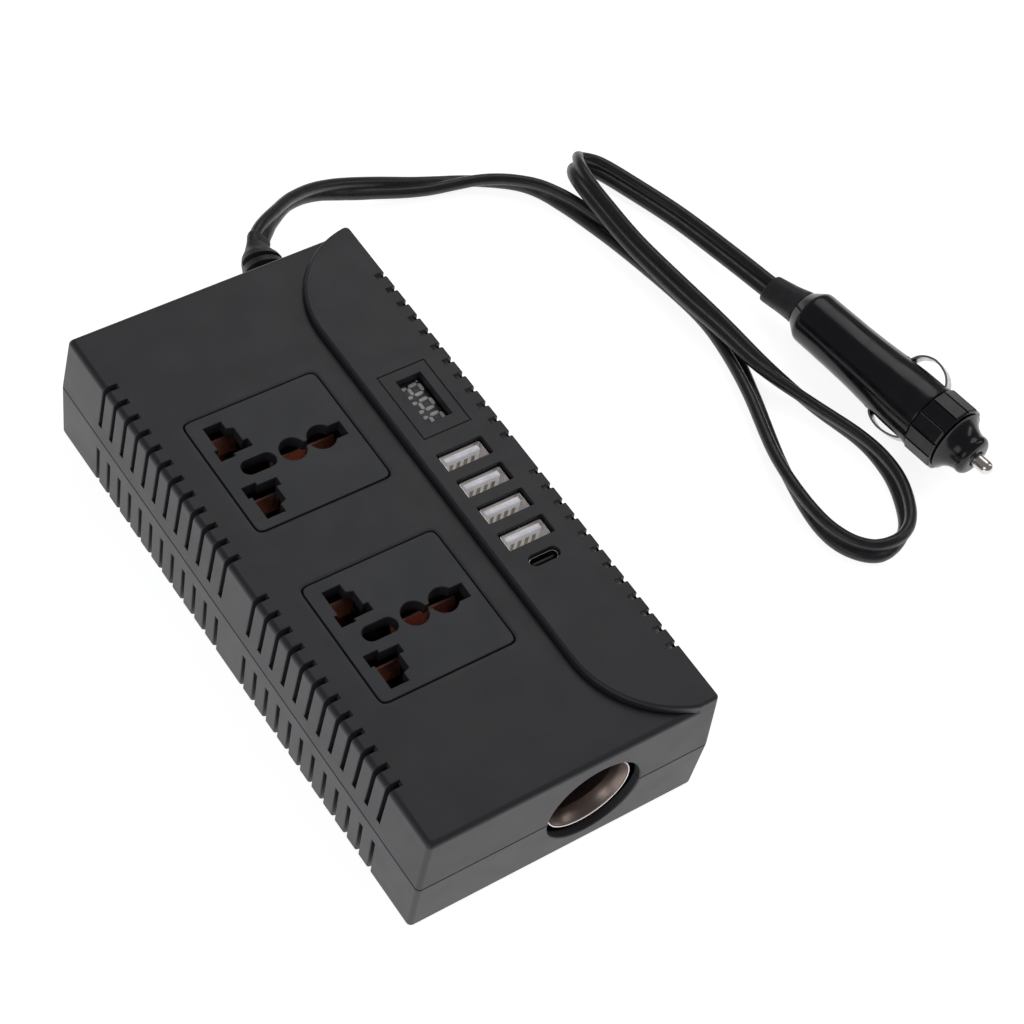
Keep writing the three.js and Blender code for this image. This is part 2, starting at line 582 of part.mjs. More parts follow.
const bootRings = BOOT.map(([y, x, rx, rz, lean]) => {
  const turn = THREE.MathUtils.degToRad(-Math.max(0, y - 92) * 1.65);
  const tilt = THREE.MathUtils.degToRad(lean);
  const ring = [];
  for (let i = 0; i < 20; i++) {
    const a = (2 * Math.PI * i) / 20;
    const across = rx * Math.cos(a) * Math.cos(tilt) - rz * Math.sin(a) * Math.sin(tilt);
    const rise = rx * Math.cos(a) * Math.sin(tilt) + rz * Math.sin(a) * Math.cos(tilt);
    ring.push(new THREE.Vector3(x + across * Math.cos(turn), y + across * Math.sin(turn), SEAM_Z + rise));
  }
  return ring;
});
add('cord_boot', loft(bootRings));

// ---- cord: a flat section swept along the route -------------------------------------------------------
function routePoint(t) {
  const n = CORD_ROUTE.length;
  const i = Math.min(Math.floor(t), n - 2);
  const u = t - i;
  const p = [i - 1, i, i + 1, i + 2].map((k) => CORD_ROUTE[Math.max(0, Math.min(n - 1, k))]);
  return [0, 1, 2, 3].map((c) => {
    const [a, b, d, e] = p.map((q) => q[c]);
    return 0.5 * (
      2 * b + (d - a) * u + (2 * a - 5 * b + 4 * d - e) * u * u + (3 * b - a - 3 * d + e) * u * u * u
    );
  });
}

const cordRings = [];
const CORD_STEPS = 114;
for (let s = 0; s <= CORD_STEPS; s++) {
  const t = (s / CORD_STEPS) * (CORD_ROUTE.length - 1);
  const [x, y, z, lean] = routePoint(t);
  const ahead = routePoint(Math.min(t + 0.02, CORD_ROUTE.length - 1));
  const behind = routePoint(Math.max(t - 0.02, 0));
  const along = new THREE.Vector3(...ahead.slice(0, 3))
    .sub(new THREE.Vector3(...behind.slice(0, 3))).normalize();
  const level = along.clone().cross(new THREE.Vector3(0, 0, 1)).normalize();
  const up = level.clone().cross(along).normalize();
  const a = THREE.MathUtils.degToRad(lean);
  const wide = level.clone().multiplyScalar(Math.cos(a)).addScaledVector(up, Math.sin(a));
  const thin = along.clone().cross(wide).normalize();
  const ring = [];
  for (let i = 0; i < 10; i++) {
    const b = (2 * Math.PI * (i + 0.5)) / 10;
    const cx = Math.sign(Math.cos(b)) * (CORD_W - CORD_T) / 2 + (CORD_T / 2) * Math.cos(b);
    const high = (CORD_T / 2) * Math.sin(b);
    ring.push(new THREE.Vector3(x, y, z).addScaledVector(wide, cx).addScaledVector(thin, high));
  }
  cordRings.push(ring);
}
add('cord', loft(cordRings));

// ---- plug ---------------------------------------------------------------------------------------------
const plugFrame = new THREE.Matrix4();
{
  const zAxis = PLUG_AXIS.clone();
  const yAxis = zAxis.clone().cross(PLUG_SIDE).normalize();
  const xAxis = yAxis.clone().cross(zAxis).normalize();
  plugFrame.makeBasis(xAxis, yAxis, zAxis).setPosition(PLUG_AT);
}

function addPlug(name, body) {
  const g = body.isBufferGeometry ? body : geometryOf(body);
  g.applyMatrix4(plugFrame);
  add(name, g);
}

const contactWindow = (sign) => boxAt(sign * 9.7, 0, 9.4, 6.0, 33.0, 48.9);
{
  // station along the plug: z, sideways shift of the centre, half width, half thickness
  const stations = [
    [-14.9, -1.9, 4.4, 3.2], [-12, -1.5, 4.7, 3.8], [-8, -0.9, 5.0, 4.5], [-4, -0.25, 5.4, 5.2],
    [-2.7, 0, 5.5, 5.4],
  ];
  addPlug('plug_boot', loft(stations.map(([z, x, rx, ry]) => {
    const ring = [];
    for (let i = 0; i < 20; i++) {
      const a = (2 * Math.PI * i) / 20;
      ring.push(new THREE.Vector3(x + rx * Math.cos(a), ry * Math.sin(a), z));
    }
    return ring;
  })));

  let body = solidOf(turned([
    [0, -2.5], [5.8, -2.5], [8.3, 1.2], [8.6, 2.6], [8.7, 10], [8.8, 18], [9.1, 25], [9.5, 31],
    [9.95, 35], [10.3, 42], [10.35, 49.9], [8.7, 49.9], [8.7, 58.2], [4.2, 58.2], [4.2, 24], [0, 24],
  ], 28));
  for (const sign of [-1, 1]) body = body.subtract(contactWindow(sign));
  addPlug('plug_body', body);

  let collar = solidOf(turned([
    [9.0, 50.2], [10.9, 50.2], [10.9, 59.4], [10.3, 60.0], [7.9, 60.0], [7.9, 59.1], [9.0, 59.1],
  ], 42));
  for (let k = 0; k < COLLAR_RIBS; k++) {
    const groove = new THREE.BoxGeometry(0.8, 0.7, 8.2);
    groove.translate(11.05, 0, 54.2);
    groove.rotateZ((2 * Math.PI * (k + 0.5)) / COLLAR_RIBS);
    collar = collar.subtract(solidOf(groove));
  }
  addPlug('plug_collar', collar);

  addPlug('plug_nose', turned([
    [8.6, 58.5], [8.6, 58.8], [7.6, 58.8], [7.6, 60.3], [9.8, 60.3], [8.8, 61.1], [7.8, 62.1],
    [7.0, 63.3], [6.5, 64.6], [6.3, 65.6], [6.4, 66.6], [6.2, 67.4], [5.5, 68.2], [4.4, 68.6],
    [2.5, 68.6], [2.5, 63], [4.5, 63], [4.5, 58.5],
  ], 24));
  addPlug('plug_tip', turned([
    [0, 61.1], [4.1, 61.1], [4.1, 62.7], [2.2, 62.7], [2.2, 72.6], [1.8, 73.8], [1.0, 74.5], [0, 74.7],
  ], 20));
  addPlug('plug_fuse', turned([[0, 31], [3.1, 31], [3.1, 61], [0, 61]], 16));

  // bowed strips: outer line of the bow, then back along its inner line. The one on the floor's side is
  // pressed flatter by the plug's weight.
  for (const [i, sign] of [1, -1].entries()) {
    const share = sign > 0 ? 1 : LOWER_BOW;
    const bow = [
      [8.6, 33.8], [9.6, 34.2], [11.6, 35.3], [13.1, 37.1], [13.95, 39.3], [14.1, 41.0], [13.7, 43.5],
      [12.6, 46.0], [10.6, 48.0], [8.8, 48.6],
    ].map(([x, z]) => [8.6 + (x - 8.6) * share, z]);
    const inner = bow.map(([x, z]) => [x - 0.7, 41.2 + (z - 41.2) * 0.955]).reverse();
    const shape = new THREE.Shape([...bow, ...inner].map(([x, z]) => new THREE.Vector2(x, z)));
    const g = new THREE.ExtrudeGeometry(shape, { depth: 5.0, bevelEnabled: false });
    g.translate(0, 0, -2.5);
    g.rotateX(Math.PI / 2);
    if (sign < 0) g.rotateZ(Math.PI);
    addPlug(`side_contact_${i + 1}`, g);
  }
}

export default group;
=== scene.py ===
"""Car power inverter: the looks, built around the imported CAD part.

Lengths in this file are millimetres unless a name ends in _M; mesh_object() turns them into metres.
The frame is the CAD part's: +Z up, front (lighter socket) at -Y, the cord leaves at +Y.
"""

import math

import bmesh
import bpy
from mathutils import Matrix, Vector


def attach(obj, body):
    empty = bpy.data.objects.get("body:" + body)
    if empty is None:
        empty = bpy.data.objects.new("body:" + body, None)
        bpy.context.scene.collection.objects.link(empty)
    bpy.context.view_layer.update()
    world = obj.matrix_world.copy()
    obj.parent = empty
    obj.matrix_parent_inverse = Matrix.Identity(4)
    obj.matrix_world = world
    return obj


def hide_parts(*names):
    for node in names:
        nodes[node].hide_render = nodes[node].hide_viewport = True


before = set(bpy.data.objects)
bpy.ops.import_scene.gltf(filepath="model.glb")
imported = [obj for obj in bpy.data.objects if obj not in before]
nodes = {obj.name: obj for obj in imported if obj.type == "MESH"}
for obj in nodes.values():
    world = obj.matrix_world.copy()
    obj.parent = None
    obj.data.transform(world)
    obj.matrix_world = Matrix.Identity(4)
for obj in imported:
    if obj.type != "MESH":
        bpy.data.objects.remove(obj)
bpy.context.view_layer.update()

MM = 0.001
FLOOR_HALF = 3000
FLOOR_Z = -0.05

# ---- camera --------------------------------------------------------------------------------------
CAMERA_AT_M = (-0.3028, -0.34485, 0.64180)
CAMERA_RIGHT = (0.81925, -0.55338, 0.15032)
CAMERA_UP = (0.37117, 0.71155, 0.59660)
CAMERA_BACK = (-0.43711, -0.43298, 0.78833)
CAMERA_LENS_MM = 102.26
CAMERA_SENSOR_MM = 36.0

# ---- case ----------------------------------------------------------------------------------------
CASE_X = 0.7
CASE_Y = 0.5
SEAM_HALF_X = 45.2
SEAM_HALF_Y = 90.0
FRONT_Y = CASE_Y - SEAM_HALF_Y
SEAM_Z = 20.0
SEAM_GAP = 0.2
TOP_Z = 39.5
PANEL_Z = 41.8
TOP_INSET_X = 1.0
TOP_INSET_Y = 0.7
BOTTOM_INSET = 0.6
WALL = 2.4
CORNER_R = 1.4
EDGE_R = 1.6
PANEL_EDGE_R = 0.9
PANEL_LEFT_X = 17.7
PANEL_CURVE_R = 29.5
PANEL_CURVE_Y = 60.5
MOUTH_R = 0.28
CUT_LOW_Z = 30
CUT_HIGH_Z = 45
CUT_FRONT_Y = (-95.0, -82.0)
CUT_BACK_Y = (84, 95)
SEAM_BEVEL = 0.22
PORT_RIM_R = 0.22

SLOT_W = 1.5
SLOT_FIRST_Y = 7.0
SLOT_PITCH = 5.71
SLOT_COUNT = 12
SLOT_SEAM_GAP = 4.8
SLOT_INNER_LEFT = 39.4
SLOT_INNER_RIGHT = 41.4
SLOT_RIB_X = 44.6
SLOT_RIB_Z = 38.4
SCREWS = [(-37.5, -82), (37.5, -82), (-37.5, 82), (37.5, 82)]
POSTS = [(-34, -40), (-34, 45), (34, -60), (34, 45)]

# ---- outlets -------------------------------------------------------------------------------------
OUTLET_X = -10.6
OUTLET_YS = [30.7, -28.8]
PLATE_X = 40.7
PLATE_AT_X = -10.9
PLATE_Y = 39.4
PLATE_GAP = 0.3
PLATE_CUT = 1.7
HOLE_AXIS_Y = -0.3
HOLE_R = 0.22
PLATE_FLANGE_X = 21.8
PLATE_FLANGE_Y = 21.2
BLADE_HOLE = [
    (-16.3, 16.5), (-16.3, 8.7), (-17.4, 8.7), (-17.4, 5.0), (-13.2, 5.0), (-13.2, 6.0),
    (-7.4, 6.0), (-7.4, 8.5), (-8.9, 8.5), (-8.9, 13.2), (-10.9, 13.9), (-10.9, 16.5),
]

# ---- ports ---------------------------------------------------------------------------------------
PORT_X = 29.5
USB_A_YS = [6.7, -3.0, -12.75, -22.5]
USB_A_OPENING = (14.4, 6.1)
USB_A_SHELL = (13.2, 5.6)
USB_C_Y = -31.1
USB_C_OPENING = (9.3, 3.6)
USB_C_SHELL = (8.9, 3.2)
PORT_BASE_Z = 27.7
WINDOW = (26.3, 34.1, 19.8, 35.7)
ENGRAVED = (22.1, 37.5, 15.3, 39.2)
ENGRAVED_W = 0.5
DIGIT_YS = [32.75, 27.3, 21.85]
DIGIT_MID_X = 29.5
DISPLAY_FACE_Z = 38.9
DIGIT_HALF_H = 3.5
DIGIT_HALF_W = 1.65
DIGIT_LEAN = 0.25
SEGMENT_HALF_W = 0.55
SEGMENT_GAP = 0.22
DOT_AT = (33.0, 35.2)

# ---- lighter socket and fan ----------------------------------------------------------------------
SOCKET_X = 9.2
SOCKET_HOLE_R = 14.3
SOCKET_BORE_R = 10.75
SOCKET_LIP_R = 12.7
SOCKET_LIP_Y = -86.8
SOCKET_DEPTH = 38.3
FAN_X = -18.0
FAN_Z = 20.0
GRILLE_R = 13.4
GRILLE_XS = (-11, -6.6, -2.2, 2.2, 6.6, 11)
BOOT_X = 25.0
BOOT_HOLE_R = 4.8
BOOT_GROOVES = [(94.8, 96.6), (98.5, 100.3), (102.2, 103.9)]
BOOT_GROOVE_DEEP = 1.6
BOOT_END_Y = 110.2

# ---- cord: centre line and the lean of its flat side in degrees ----------------------------------
CORD_CORE_R = 1.8
CORD_CORE_SPREAD = 1.7
CORD_PARTS = 10
CORD_ROUTE = [
    (30.7, 111.3, 20, 145), (34.5, 114.9, 19.2, 131), (41.3, 119.9, 17, 97), (50.7, 125.3, 14.1, 81),
    (62.3, 127.8, 10.4, 93), (77.8, 125.6, 6.4, 143), (94.9, 120.9, 3.6, 179),
    (113.3, 115.1, 3.3, 234), (125.2, 107, 3.6, 257), (131.8, 96.2, 3.5, 293), (137.2, 81.1, 2.7, 335),
    (141.4, 62.9, 2.2, 355), (144.4, 42, 2.2, 365), (143.4, 27, 2.4, 375), (138.7, 9.2, 3, 399),
    (130.9, -14.8, 3.3, 413), (127.7, -34.7, 3.6, 450), (129.4, -46.5, 3.5, 480),
    (135.4, -53.8, 3.5, 492), (143.5, -54.6, 3.6, 452), (150.7, -50.5, 3.5, 434),
    (156, -41.3, 3.5, 425), (158.2, -31.5, 3.6, 441), (157.4, -19.7, 3.6, 464),
    (152.2, -2.7, 3.6, 482), (145.9, 14, 6.4, 520), (143.6, 32.2, 6.8, 540), (141, 50.4, 7, 562),
    (138.7, 69.9, 7.4, 560), (137.3, 86.1, 9.4, 560), (137, 94.6, 10.4, 565), (138.6, 101, 9.3, 590),
    (142, 105.8, 6.6, 620), (144.9, 107, 4.3, 650), (149.8, 103.2, 3.2, 672), (154.8, 91.2, 3.1, 680),
    (160.3, 74.8, 3.3, 682), (163.4, 54.6, 5.5, 682), (165.6, 37.4, 7.4, 682),
]

# ---- plug: its own z axis runs from the shoulder to the tip --------------------------------------
PLUG_AT = Vector((168.8, 22.15, 9.35))
PLUG_AXIS = Vector((0.128, -0.991, 0.037)).normalized()
PLUG_SIDE = Vector((0.762, 0.116, 0.637))
COLLAR_RIBS = 14
COLLAR_FLAT_R = 10.72
COLLAR_R = 10.92
LOWER_BOW = 0.62
STRIP_T = 0.65
STRIP_HALF_W = 2.5


# ---- mesh helpers --------------------------------------------------------------------------------
def mesh_object(name, verts, faces):
    """A new object from vertices in millimetres, its faces turned outwards."""
    mesh = bpy.data.meshes.new(name)
    mesh.from_pydata([tuple(c * MM for c in v) for v in verts], [], faces)
    obj = bpy.data.objects.new(name, mesh)
    bpy.context.scene.collection.objects.link(obj)
    bm = bmesh.new()
    bm.from_mesh(mesh)
    bmesh.ops.remove_doubles(bm, verts=bm.verts, dist=1e-7)
    bmesh.ops.dissolve_degenerate(bm, edges=bm.edges, dist=1e-7)
    bmesh.ops.recalc_face_normals(bm, faces=bm.faces)
    bm.to_mesh(mesh)
    bm.free()
    return obj


def loft(rings, first_cap=True, last_cap=True):
    """Rings of equal length, joined into one skin with flat ends."""
    n = len(rings[0])
    verts = [tuple(p) for ring in rings for p in ring]
    faces = []
    for k in range(len(rings) - 1):
        for i in range(n):
            j = (i + 1) % n
            faces.append((k * n + i, k * n + j, (k + 1) * n + j, (k + 1) * n + i))
    if first_cap:
        faces.append(tuple(range(n - 1, -1, -1)))
    if last_cap:
        faces.append(tuple((len(rings) - 1) * n + i for i in range(n)))
    return verts, faces


def turned(profile, sides=64):
    """A profile of (radius, height) turned about +Z; it closes on itself if it leaves the axis clear."""
    closed = profile[0][0] > 1e-6
    verts, faces = [], []
    for k in range(sides):
        a = 2 * math.pi * k / sides
        verts += [(r * math.cos(a), r * math.sin(a), z) for r, z in profile]
    n = len(profile)
    for k in range(sides):
        m = (k + 1) % sides
        for i in range(n if closed else n - 1):
            j = (i + 1) % n
            faces.append((k * n + i, m * n + i, m * n + j, k * n + j))
    return verts, faces


def spline_point(points, i, u):
    """The point at share u of the way from point i to the next one, on a smooth line through points."""
    last = len(points) - 1
    a, b, c, d = (points[max(0, min(last, k))] for k in (i - 1, i, i + 1, i + 2))
    out = []
    for p, q, r, s in zip(a, b, c, d):
        square, cube = 2 * p - 5 * q + 4 * r - s, 3 * q - p - 3 * r + s
        out.append(0.5 * (2 * q + (r - p) * u + square * u * u + cube * u**3))
    return out


def curve_through(points, steps=6):
    """A smooth line through the points, with steps parts between each two."""
    out = []
    for i in range(len(points) - 1):
        for k in range(steps):
            out.append(tuple(spline_point(points, i, k / steps)))
    out.append(tuple(points[-1]))
    return out


def moved(solid, matrix):
    verts, faces = solid
    return [tuple(matrix @ Vector(v)) for v in verts], faces


def joined(solids):
    verts, faces = [], []
    for v, f in solids:
        start = len(verts)
        verts += v
        faces += [tuple(i + start for i in face) for face in f]
    return verts, faces


def box(x0, x1, y0, y1, z0, z1):
    ring = [(x0, y0), (x1, y0), (x1, y1), (x0, y1)]
    return loft([[(x, y, z) for x, y in ring] for z in (z0, z1)])


def round_rect(half_x, half_y, r, steps=8):
    points = []
    for sx, sy, start in ((1, 1, 0), (-1, 1, 90), (-1, -1, 180), (1, -1, 270)):
        for k in range(steps + 1):
            a = math.radians(start + 90 * k / steps)
            points.append((sx * (half_x - r) + r * math.cos(a), sy * (half_y - r) + r * math.sin(a)))
    return points


def circle(r, steps=48):
    angles = [2 * math.pi * k / steps for k in range(steps)]
    return [(r * math.cos(a), r * math.sin(a)) for a in angles]


def grown(points, d):
    """An anticlockwise outline pushed out by d, its corners kept sharp."""
    out = []
    n = len(points)
    for i, (x, y) in enumerate(points):
        (ax, ay), (bx, by) = points[i - 1], points[(i + 1) % n]
        n1 = Vector((y - ay, ax - x)).normalized()
        n2 = Vector((by - y, x - bx)).normalized()
        m = n1 + n2
        m = m.normalized() if m.length > 1e-6 else n1
        k = d / max(0.5, m.dot(n1))
        out.append((x + m.x * k, y + m.y * k))
    return out


def anticlockwise(points):
    area = sum(a[0] * b[1] - b[0] * a[1] for a, b in zip(points, points[1:] + points[:1]))
    return points if area > 0 else points[::-1]


def prism(points, z0, z1, x=0.0, y=0.0):
    points = anticlockwise(points)
    return loft([[(px + x, py + y, z) for px, py in points] for z in (z0, z1)])


def mouth_cutter(points, z_low, z_top, r, x=0.0, y=0.0, steps=4):
    """A prism that cuts a hole whose rim at height z_top is rounded by r."""
    points = anticlockwise(points)
    levels = [(z_low, 0.0), (z_top - r, 0.0)]
    for k in range(1, steps + 1):
        a = math.pi / 2 * k / steps
        levels.append((z_top - r + r * math.sin(a), r * (1 - math.cos(a))))
    levels.append((z_top + 3, r))
    return loft([[(px + x, py + y, z) for px, py in grown(points, d)] for z, d in levels])


def rounded_plate(points, z0, z1, r, x=0.0, y=0.0, steps=4):
    """A prism with its upper edge rounded by r."""
    points = anticlockwise(points)
    levels = [(z0, 0.0), (z1 - r, 0.0)]
    for k in range(1, steps + 1):
        a = math.pi / 2 * k / steps
        levels.append((z1 - r + r * math.sin(a), -r * (1 - math.cos(a))))
    return loft([[(px + x, py + y, z) for px, py in grown(points, d)] for z, d in levels])


def cut(obj, solid, operation="DIFFERENCE"):
    """Cuts a solid from obj, or adds it with UNION."""
    tool = mesh_object(obj.name + "_tool", *solid)
    modifier = obj.modifiers.new("cut", "BOOLEAN")
    modifier.solver = "MANIFOLD"
    modifier.operation = operation
    modifier.object = tool
    bpy.context.view_layer.update()
    graph = bpy.context.evaluated_depsgraph_get()
    made = bpy.data.meshes.new_from_object(obj.evaluated_get(graph), depsgraph=graph)
    obj.modifiers.clear()
    old = obj.data
    obj.data = made
    bpy.data.meshes.remove(old)
    bpy.data.objects.remove(tool)


def smooth(obj, angle):
    """Smooth shading with edges above the angle kept sharp."""
    bm = bmesh.new()
    bm.from_mesh(obj.data)
    for face in bm.faces:
        face.smooth = True
    limit = math.radians(angle)
    for edge in bm.edges:
        sharp = len(edge.link_faces) == 2 and edge.calc_face_angle(0.0) > limit
        edge.smooth = not sharp
    bm.to_mesh(obj.data)
    bm.free()
    modifier = obj.modifiers.new("normals", "WEIGHTED_NORMAL")
    modifier.weight = 90
    modifier.keep_sharp = True


def piece(name, solid, material, body, replaced=(), angle=38.0):
    """A finished piece: smooth-shaded, painted, and riding on its body."""
    obj = mesh_object(name, *solid)
    return finish_piece(obj, material, body, replaced, angle)


def finish_piece(obj, material, body, replaced=(), angle=38.0):
    smooth(obj, angle)
    obj.data.materials.clear()
    obj.data.materials.append(material)
    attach(obj, body)
    if replaced:
        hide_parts(*replaced)
    return obj


# ---- materials -----------------------------------------------------------------------------------
class Paint:
    """A Principled material whose details come from object-space noise."""

    def __init__(self, name, color, roughness, metallic=0.0, specular=0.5):
        self.material = bpy.data.materials.new(name)
        self.material.use_nodes = True
        self.tree = self.material.node_tree
        self.shader = self.tree.nodes["Principled BSDF"]
        self.color = color
        self.shader.inputs["Base Color"].default_value = (*color, 1)
        self.shader.inputs["Roughness"].default_value = roughness
        self.shader.inputs["Metallic"].default_value = metallic
        self.shader.inputs["Specular IOR Level"].default_value = specular
        self.place = self.tree.nodes.new("ShaderNodeTexCoord").outputs["Object"]
        self.color_out = None
        self.bump_out = None

    def node(self, kind, **values):
        made = self.tree.nodes.new(kind)
        for key, value in values.items():
            setattr(made, key, value)
        return made

    def link(self, a, b):
        self.tree.links.new(a, b)

    def noise(self, size_mm, detail=3.0, rough=0.55, stretch=(1, 1, 1)):
        mapping = self.node("ShaderNodeMapping")
        mapping.inputs["Scale"].default_value = stretch
        self.link(self.place, mapping.inputs["Vector"])
        made = self.node("ShaderNodeTexNoise")
        made.inputs["Scale"].default_value = 1 / (size_mm * MM)
        made.inputs["Detail"].default_value = detail
        made.inputs["Roughness"].default_value = rough
        self.link(mapping.outputs["Vector"], made.inputs["Vector"])
        return made.outputs["Fac"]

    def ramp(self, value, low, high, to_low, to_high):
        made = self.node("ShaderNodeMapRange", clamp=True)
        made.inputs["From Min"].default_value = low
        made.inputs["From Max"].default_value = high
        made.inputs["To Min"].default_value = to_low
        made.inputs["To Max"].default_value = to_high
        self.link(value, made.inputs["Value"])
        return made.outputs["Result"]

    def math(self, operation, a, b):
        made = self.node("ShaderNodeMath", operation=operation)
        for socket, value in zip(made.inputs, (a, b)):
            if isinstance(value, (int, float)):
                socket.default_value = value
            else:
                self.link(value, socket)
        return made.outputs["Value"]

    def mix_color(self, factor, other):
        """Mixes another colour over the present one."""
        made = self.node("ShaderNodeMix", data_type="RGBA")
        self.link(factor, made.inputs["Factor"])
        if self.color_out is None:
            made.inputs["A"].default_value = (*self.color, 1)
        else:
            self.link(self.color_out, made.inputs["A"])
        made.inputs["B"].default_value = (*other, 1)
        self.color_out = made.outputs["Result"]
        self.link(self.color_out, self.shader.inputs["Base Color"])
        return self

    def mottle(self, size_mm, other, low=0.4, high=0.6, **kind):
        return self.mix_color(self.ramp(self.noise(size_mm, **kind), low, high, 0, 1), other)

    def rough(self, size_mm, smallest, largest, low=0.35, high=0.65, **kind):
        value = self.ramp(self.noise(size_mm, **kind), low, high, smallest, largest)
        self.link(value, self.shader.inputs["Roughness"])
        return self

    def bump(self, height, strength, distance_mm):
        made = self.node("ShaderNodeBump")
        made.inputs["Strength"].default_value = strength
        made.inputs["Distance"].default_value = distance_mm * MM
        self.link(height, made.inputs["Height"])
        if self.bump_out is not None:
            self.link(self.bump_out, made.inputs["Normal"])
        self.bump_out = made.outputs["Normal"]
        self.link(self.bump_out, self.shader.inputs["Normal"])
        return self

    def facing_up(self, low=0.6, high=0.9):
        normal = self.node("ShaderNodeNewGeometry").outputs["Normal"]
        parts = self.node("ShaderNodeSeparateXYZ")
        self.link(normal, parts.inputs["Vector"])
        return self.ramp(parts.outputs["Z"], low, high, 0, 1)

    def specks(self, spacing_mm, size, other, amount=1.0):
        """Sparse dust grains, each a small dot of its own size."""
        cells = self.node("ShaderNodeTexVoronoi", feature="F1")
        cells.inputs["Scale"].default_value = 1 / (spacing_mm * MM)
        self.link(self.place, cells.inputs["Vector"])
        pick = self.node("ShaderNodeSeparateColor")
        self.link(cells.outputs["Color"], pick.inputs["Color"])
        reach = self.ramp(pick.outputs["Red"], 0.72, 1.0, 0, size)
        dot = self.math("LESS_THAN", cells.outputs["Distance"], reach)
        level = self.math("MULTIPLY", dot, amount)
        return self.mix_color(self.math("MULTIPLY", level, self.facing_up()), other)


def case_paint(name, color, roughness):
    p = Paint(name, color, roughness, specular=0.5)
    p.mottle(22, tuple(c * 1.06 for c in color), 0.35, 0.7, detail=5)
    p.specks(9.0, 0.018, (0.25, 0.25, 0.26), 0.7)
    p.rough(9, roughness - 0.02, roughness + 0.02, detail=4)
    p.bump(p.noise(0.32, 4, 0.6), 0.30, 0.035)
    p.bump(p.noise(14, 2), 0.05, 0.08)
    return p.material


def soft_paint(name, color, roughness, painted_glow=0.0):
    """Moulded plastic; the glow argument paints light: an emission in the plastic's own colour, though the
    part is no lamp.
    """
    p = Paint(name, color, roughness, specular=0.5)
    p.shader.inputs["Emission Color"].default_value = (*color, 1)
    p.shader.inputs["Emission Strength"].default_value = painted_glow
    p.mottle(3, tuple(c * 1.5 for c in color), 0.4, 0.75, detail=4)
    p.rough(1.6, roughness - 0.07, roughness + 0.08, detail=4)
    p.bump(p.noise(0.5, 4), 0.18, 0.04)
    return p.material


def gloss_paint(name, color, roughness):
    p = Paint(name, color, roughness, specular=0.42)
    p.mottle(6, tuple(c * 1.35 for c in color), 0.4, 0.7, detail=4)
    p.rough(5, roughness - 0.05, roughness + 0.08, detail=5)
    p.bump(p.noise(7, 3), 0.10, 0.12)
    p.bump(p.noise(0.8, 3), 0.05, 0.02)
    return p.material


def metal_paint(name, color, dark, roughness, grain=(1, 1, 1), size_mm=1.2):
    p = Paint(name, color, roughness, metallic=1.0)
    p.mottle(size_mm * 4, dark, 0.35, 0.8, detail=5)
    p.rough(size_mm, roughness * 0.7, roughness * 1.5, detail=5, stretch=grain)
    p.bump(p.noise(size_mm * 0.5, 3, stretch=grain), 0.12, 0.02)
    return p.material


def polished_paint(name, color, roughness):
    p = Paint(name, color, roughness, metallic=1.0)
    p.mottle(12, tuple(c * 0.93 for c in color), 0.35, 0.7)
    p.rough(6, roughness * 0.92, roughness * 1.12)
    return p.material


def board_paint(name, color, trace):
    p = Paint(name, color, 0.35)
    bricks = p.node("ShaderNodeTexBrick", offset=0.37, squash=1.6)
    bricks.inputs["Scale"].default_value = 1 / (6 * MM)
    bricks.inputs["Mortar Size"].default_value = 0.03
    p.link(p.place, bricks.inputs["Vector"])
    p.mix_color(bricks.outputs["Fac"], trace)
    p.mottle(10, tuple(c * 0.6 for c in color), 0.45, 0.7)
    p.bump(bricks.outputs["Fac"], 0.3, 0.03)
    return p.material


CASE = case_paint("case_plastic", (0.030, 0.030, 0.034), 0.46)
PLATE = case_paint("outlet_plastic", (0.031, 0.032, 0.037), 0.44)
INNER = soft_paint("inner_plastic", (0.018, 0.018, 0.019), 0.5)
# Black plastic, darkened further as painted shade for the outlet body seen deep in the outlet holes.
DEEP_SHADED_PLASTIC = soft_paint("deep_plastic_painted_shade", (0.006, 0.006, 0.007), 0.6)
DISPLAY_FACE = soft_paint("display_face", (0.03, 0.03, 0.032), 0.4)
# The digit segments get a faint painted glow over their grey.
DIGIT = soft_paint("digit_segments", (0.50, 0.50, 0.51), 0.45, painted_glow=0.06)
COPPER = metal_paint("copper_strip", (0.93, 0.52, 0.40), (0.76, 0.40, 0.30), 0.42)
PORT_STEEL = metal_paint("port_steel", (0.82, 0.79, 0.75), (0.60, 0.56, 0.52), 0.20)
PIN_METAL = metal_paint("pin_metal", (0.72, 0.64, 0.48), (0.45, 0.40, 0.30), 0.30)
# The white inserts get a painted glow that brightens them in the dark ports.
WHITE = soft_paint("white_plastic", (0.80, 0.79, 0.83), 0.35, painted_glow=0.2)
NICKEL = metal_paint("plug_nickel", (0.82, 0.78, 0.74), (0.62, 0.58, 0.54), 0.16)
# Spring steel, darkened further as painted shade for the shadowed lower strip under the plug.
SHADED_SPRING_STEEL = metal_paint("contact_steel_painted_shade", (0.46, 0.44, 0.42), (0.34, 0.32, 0.31), 0.22)
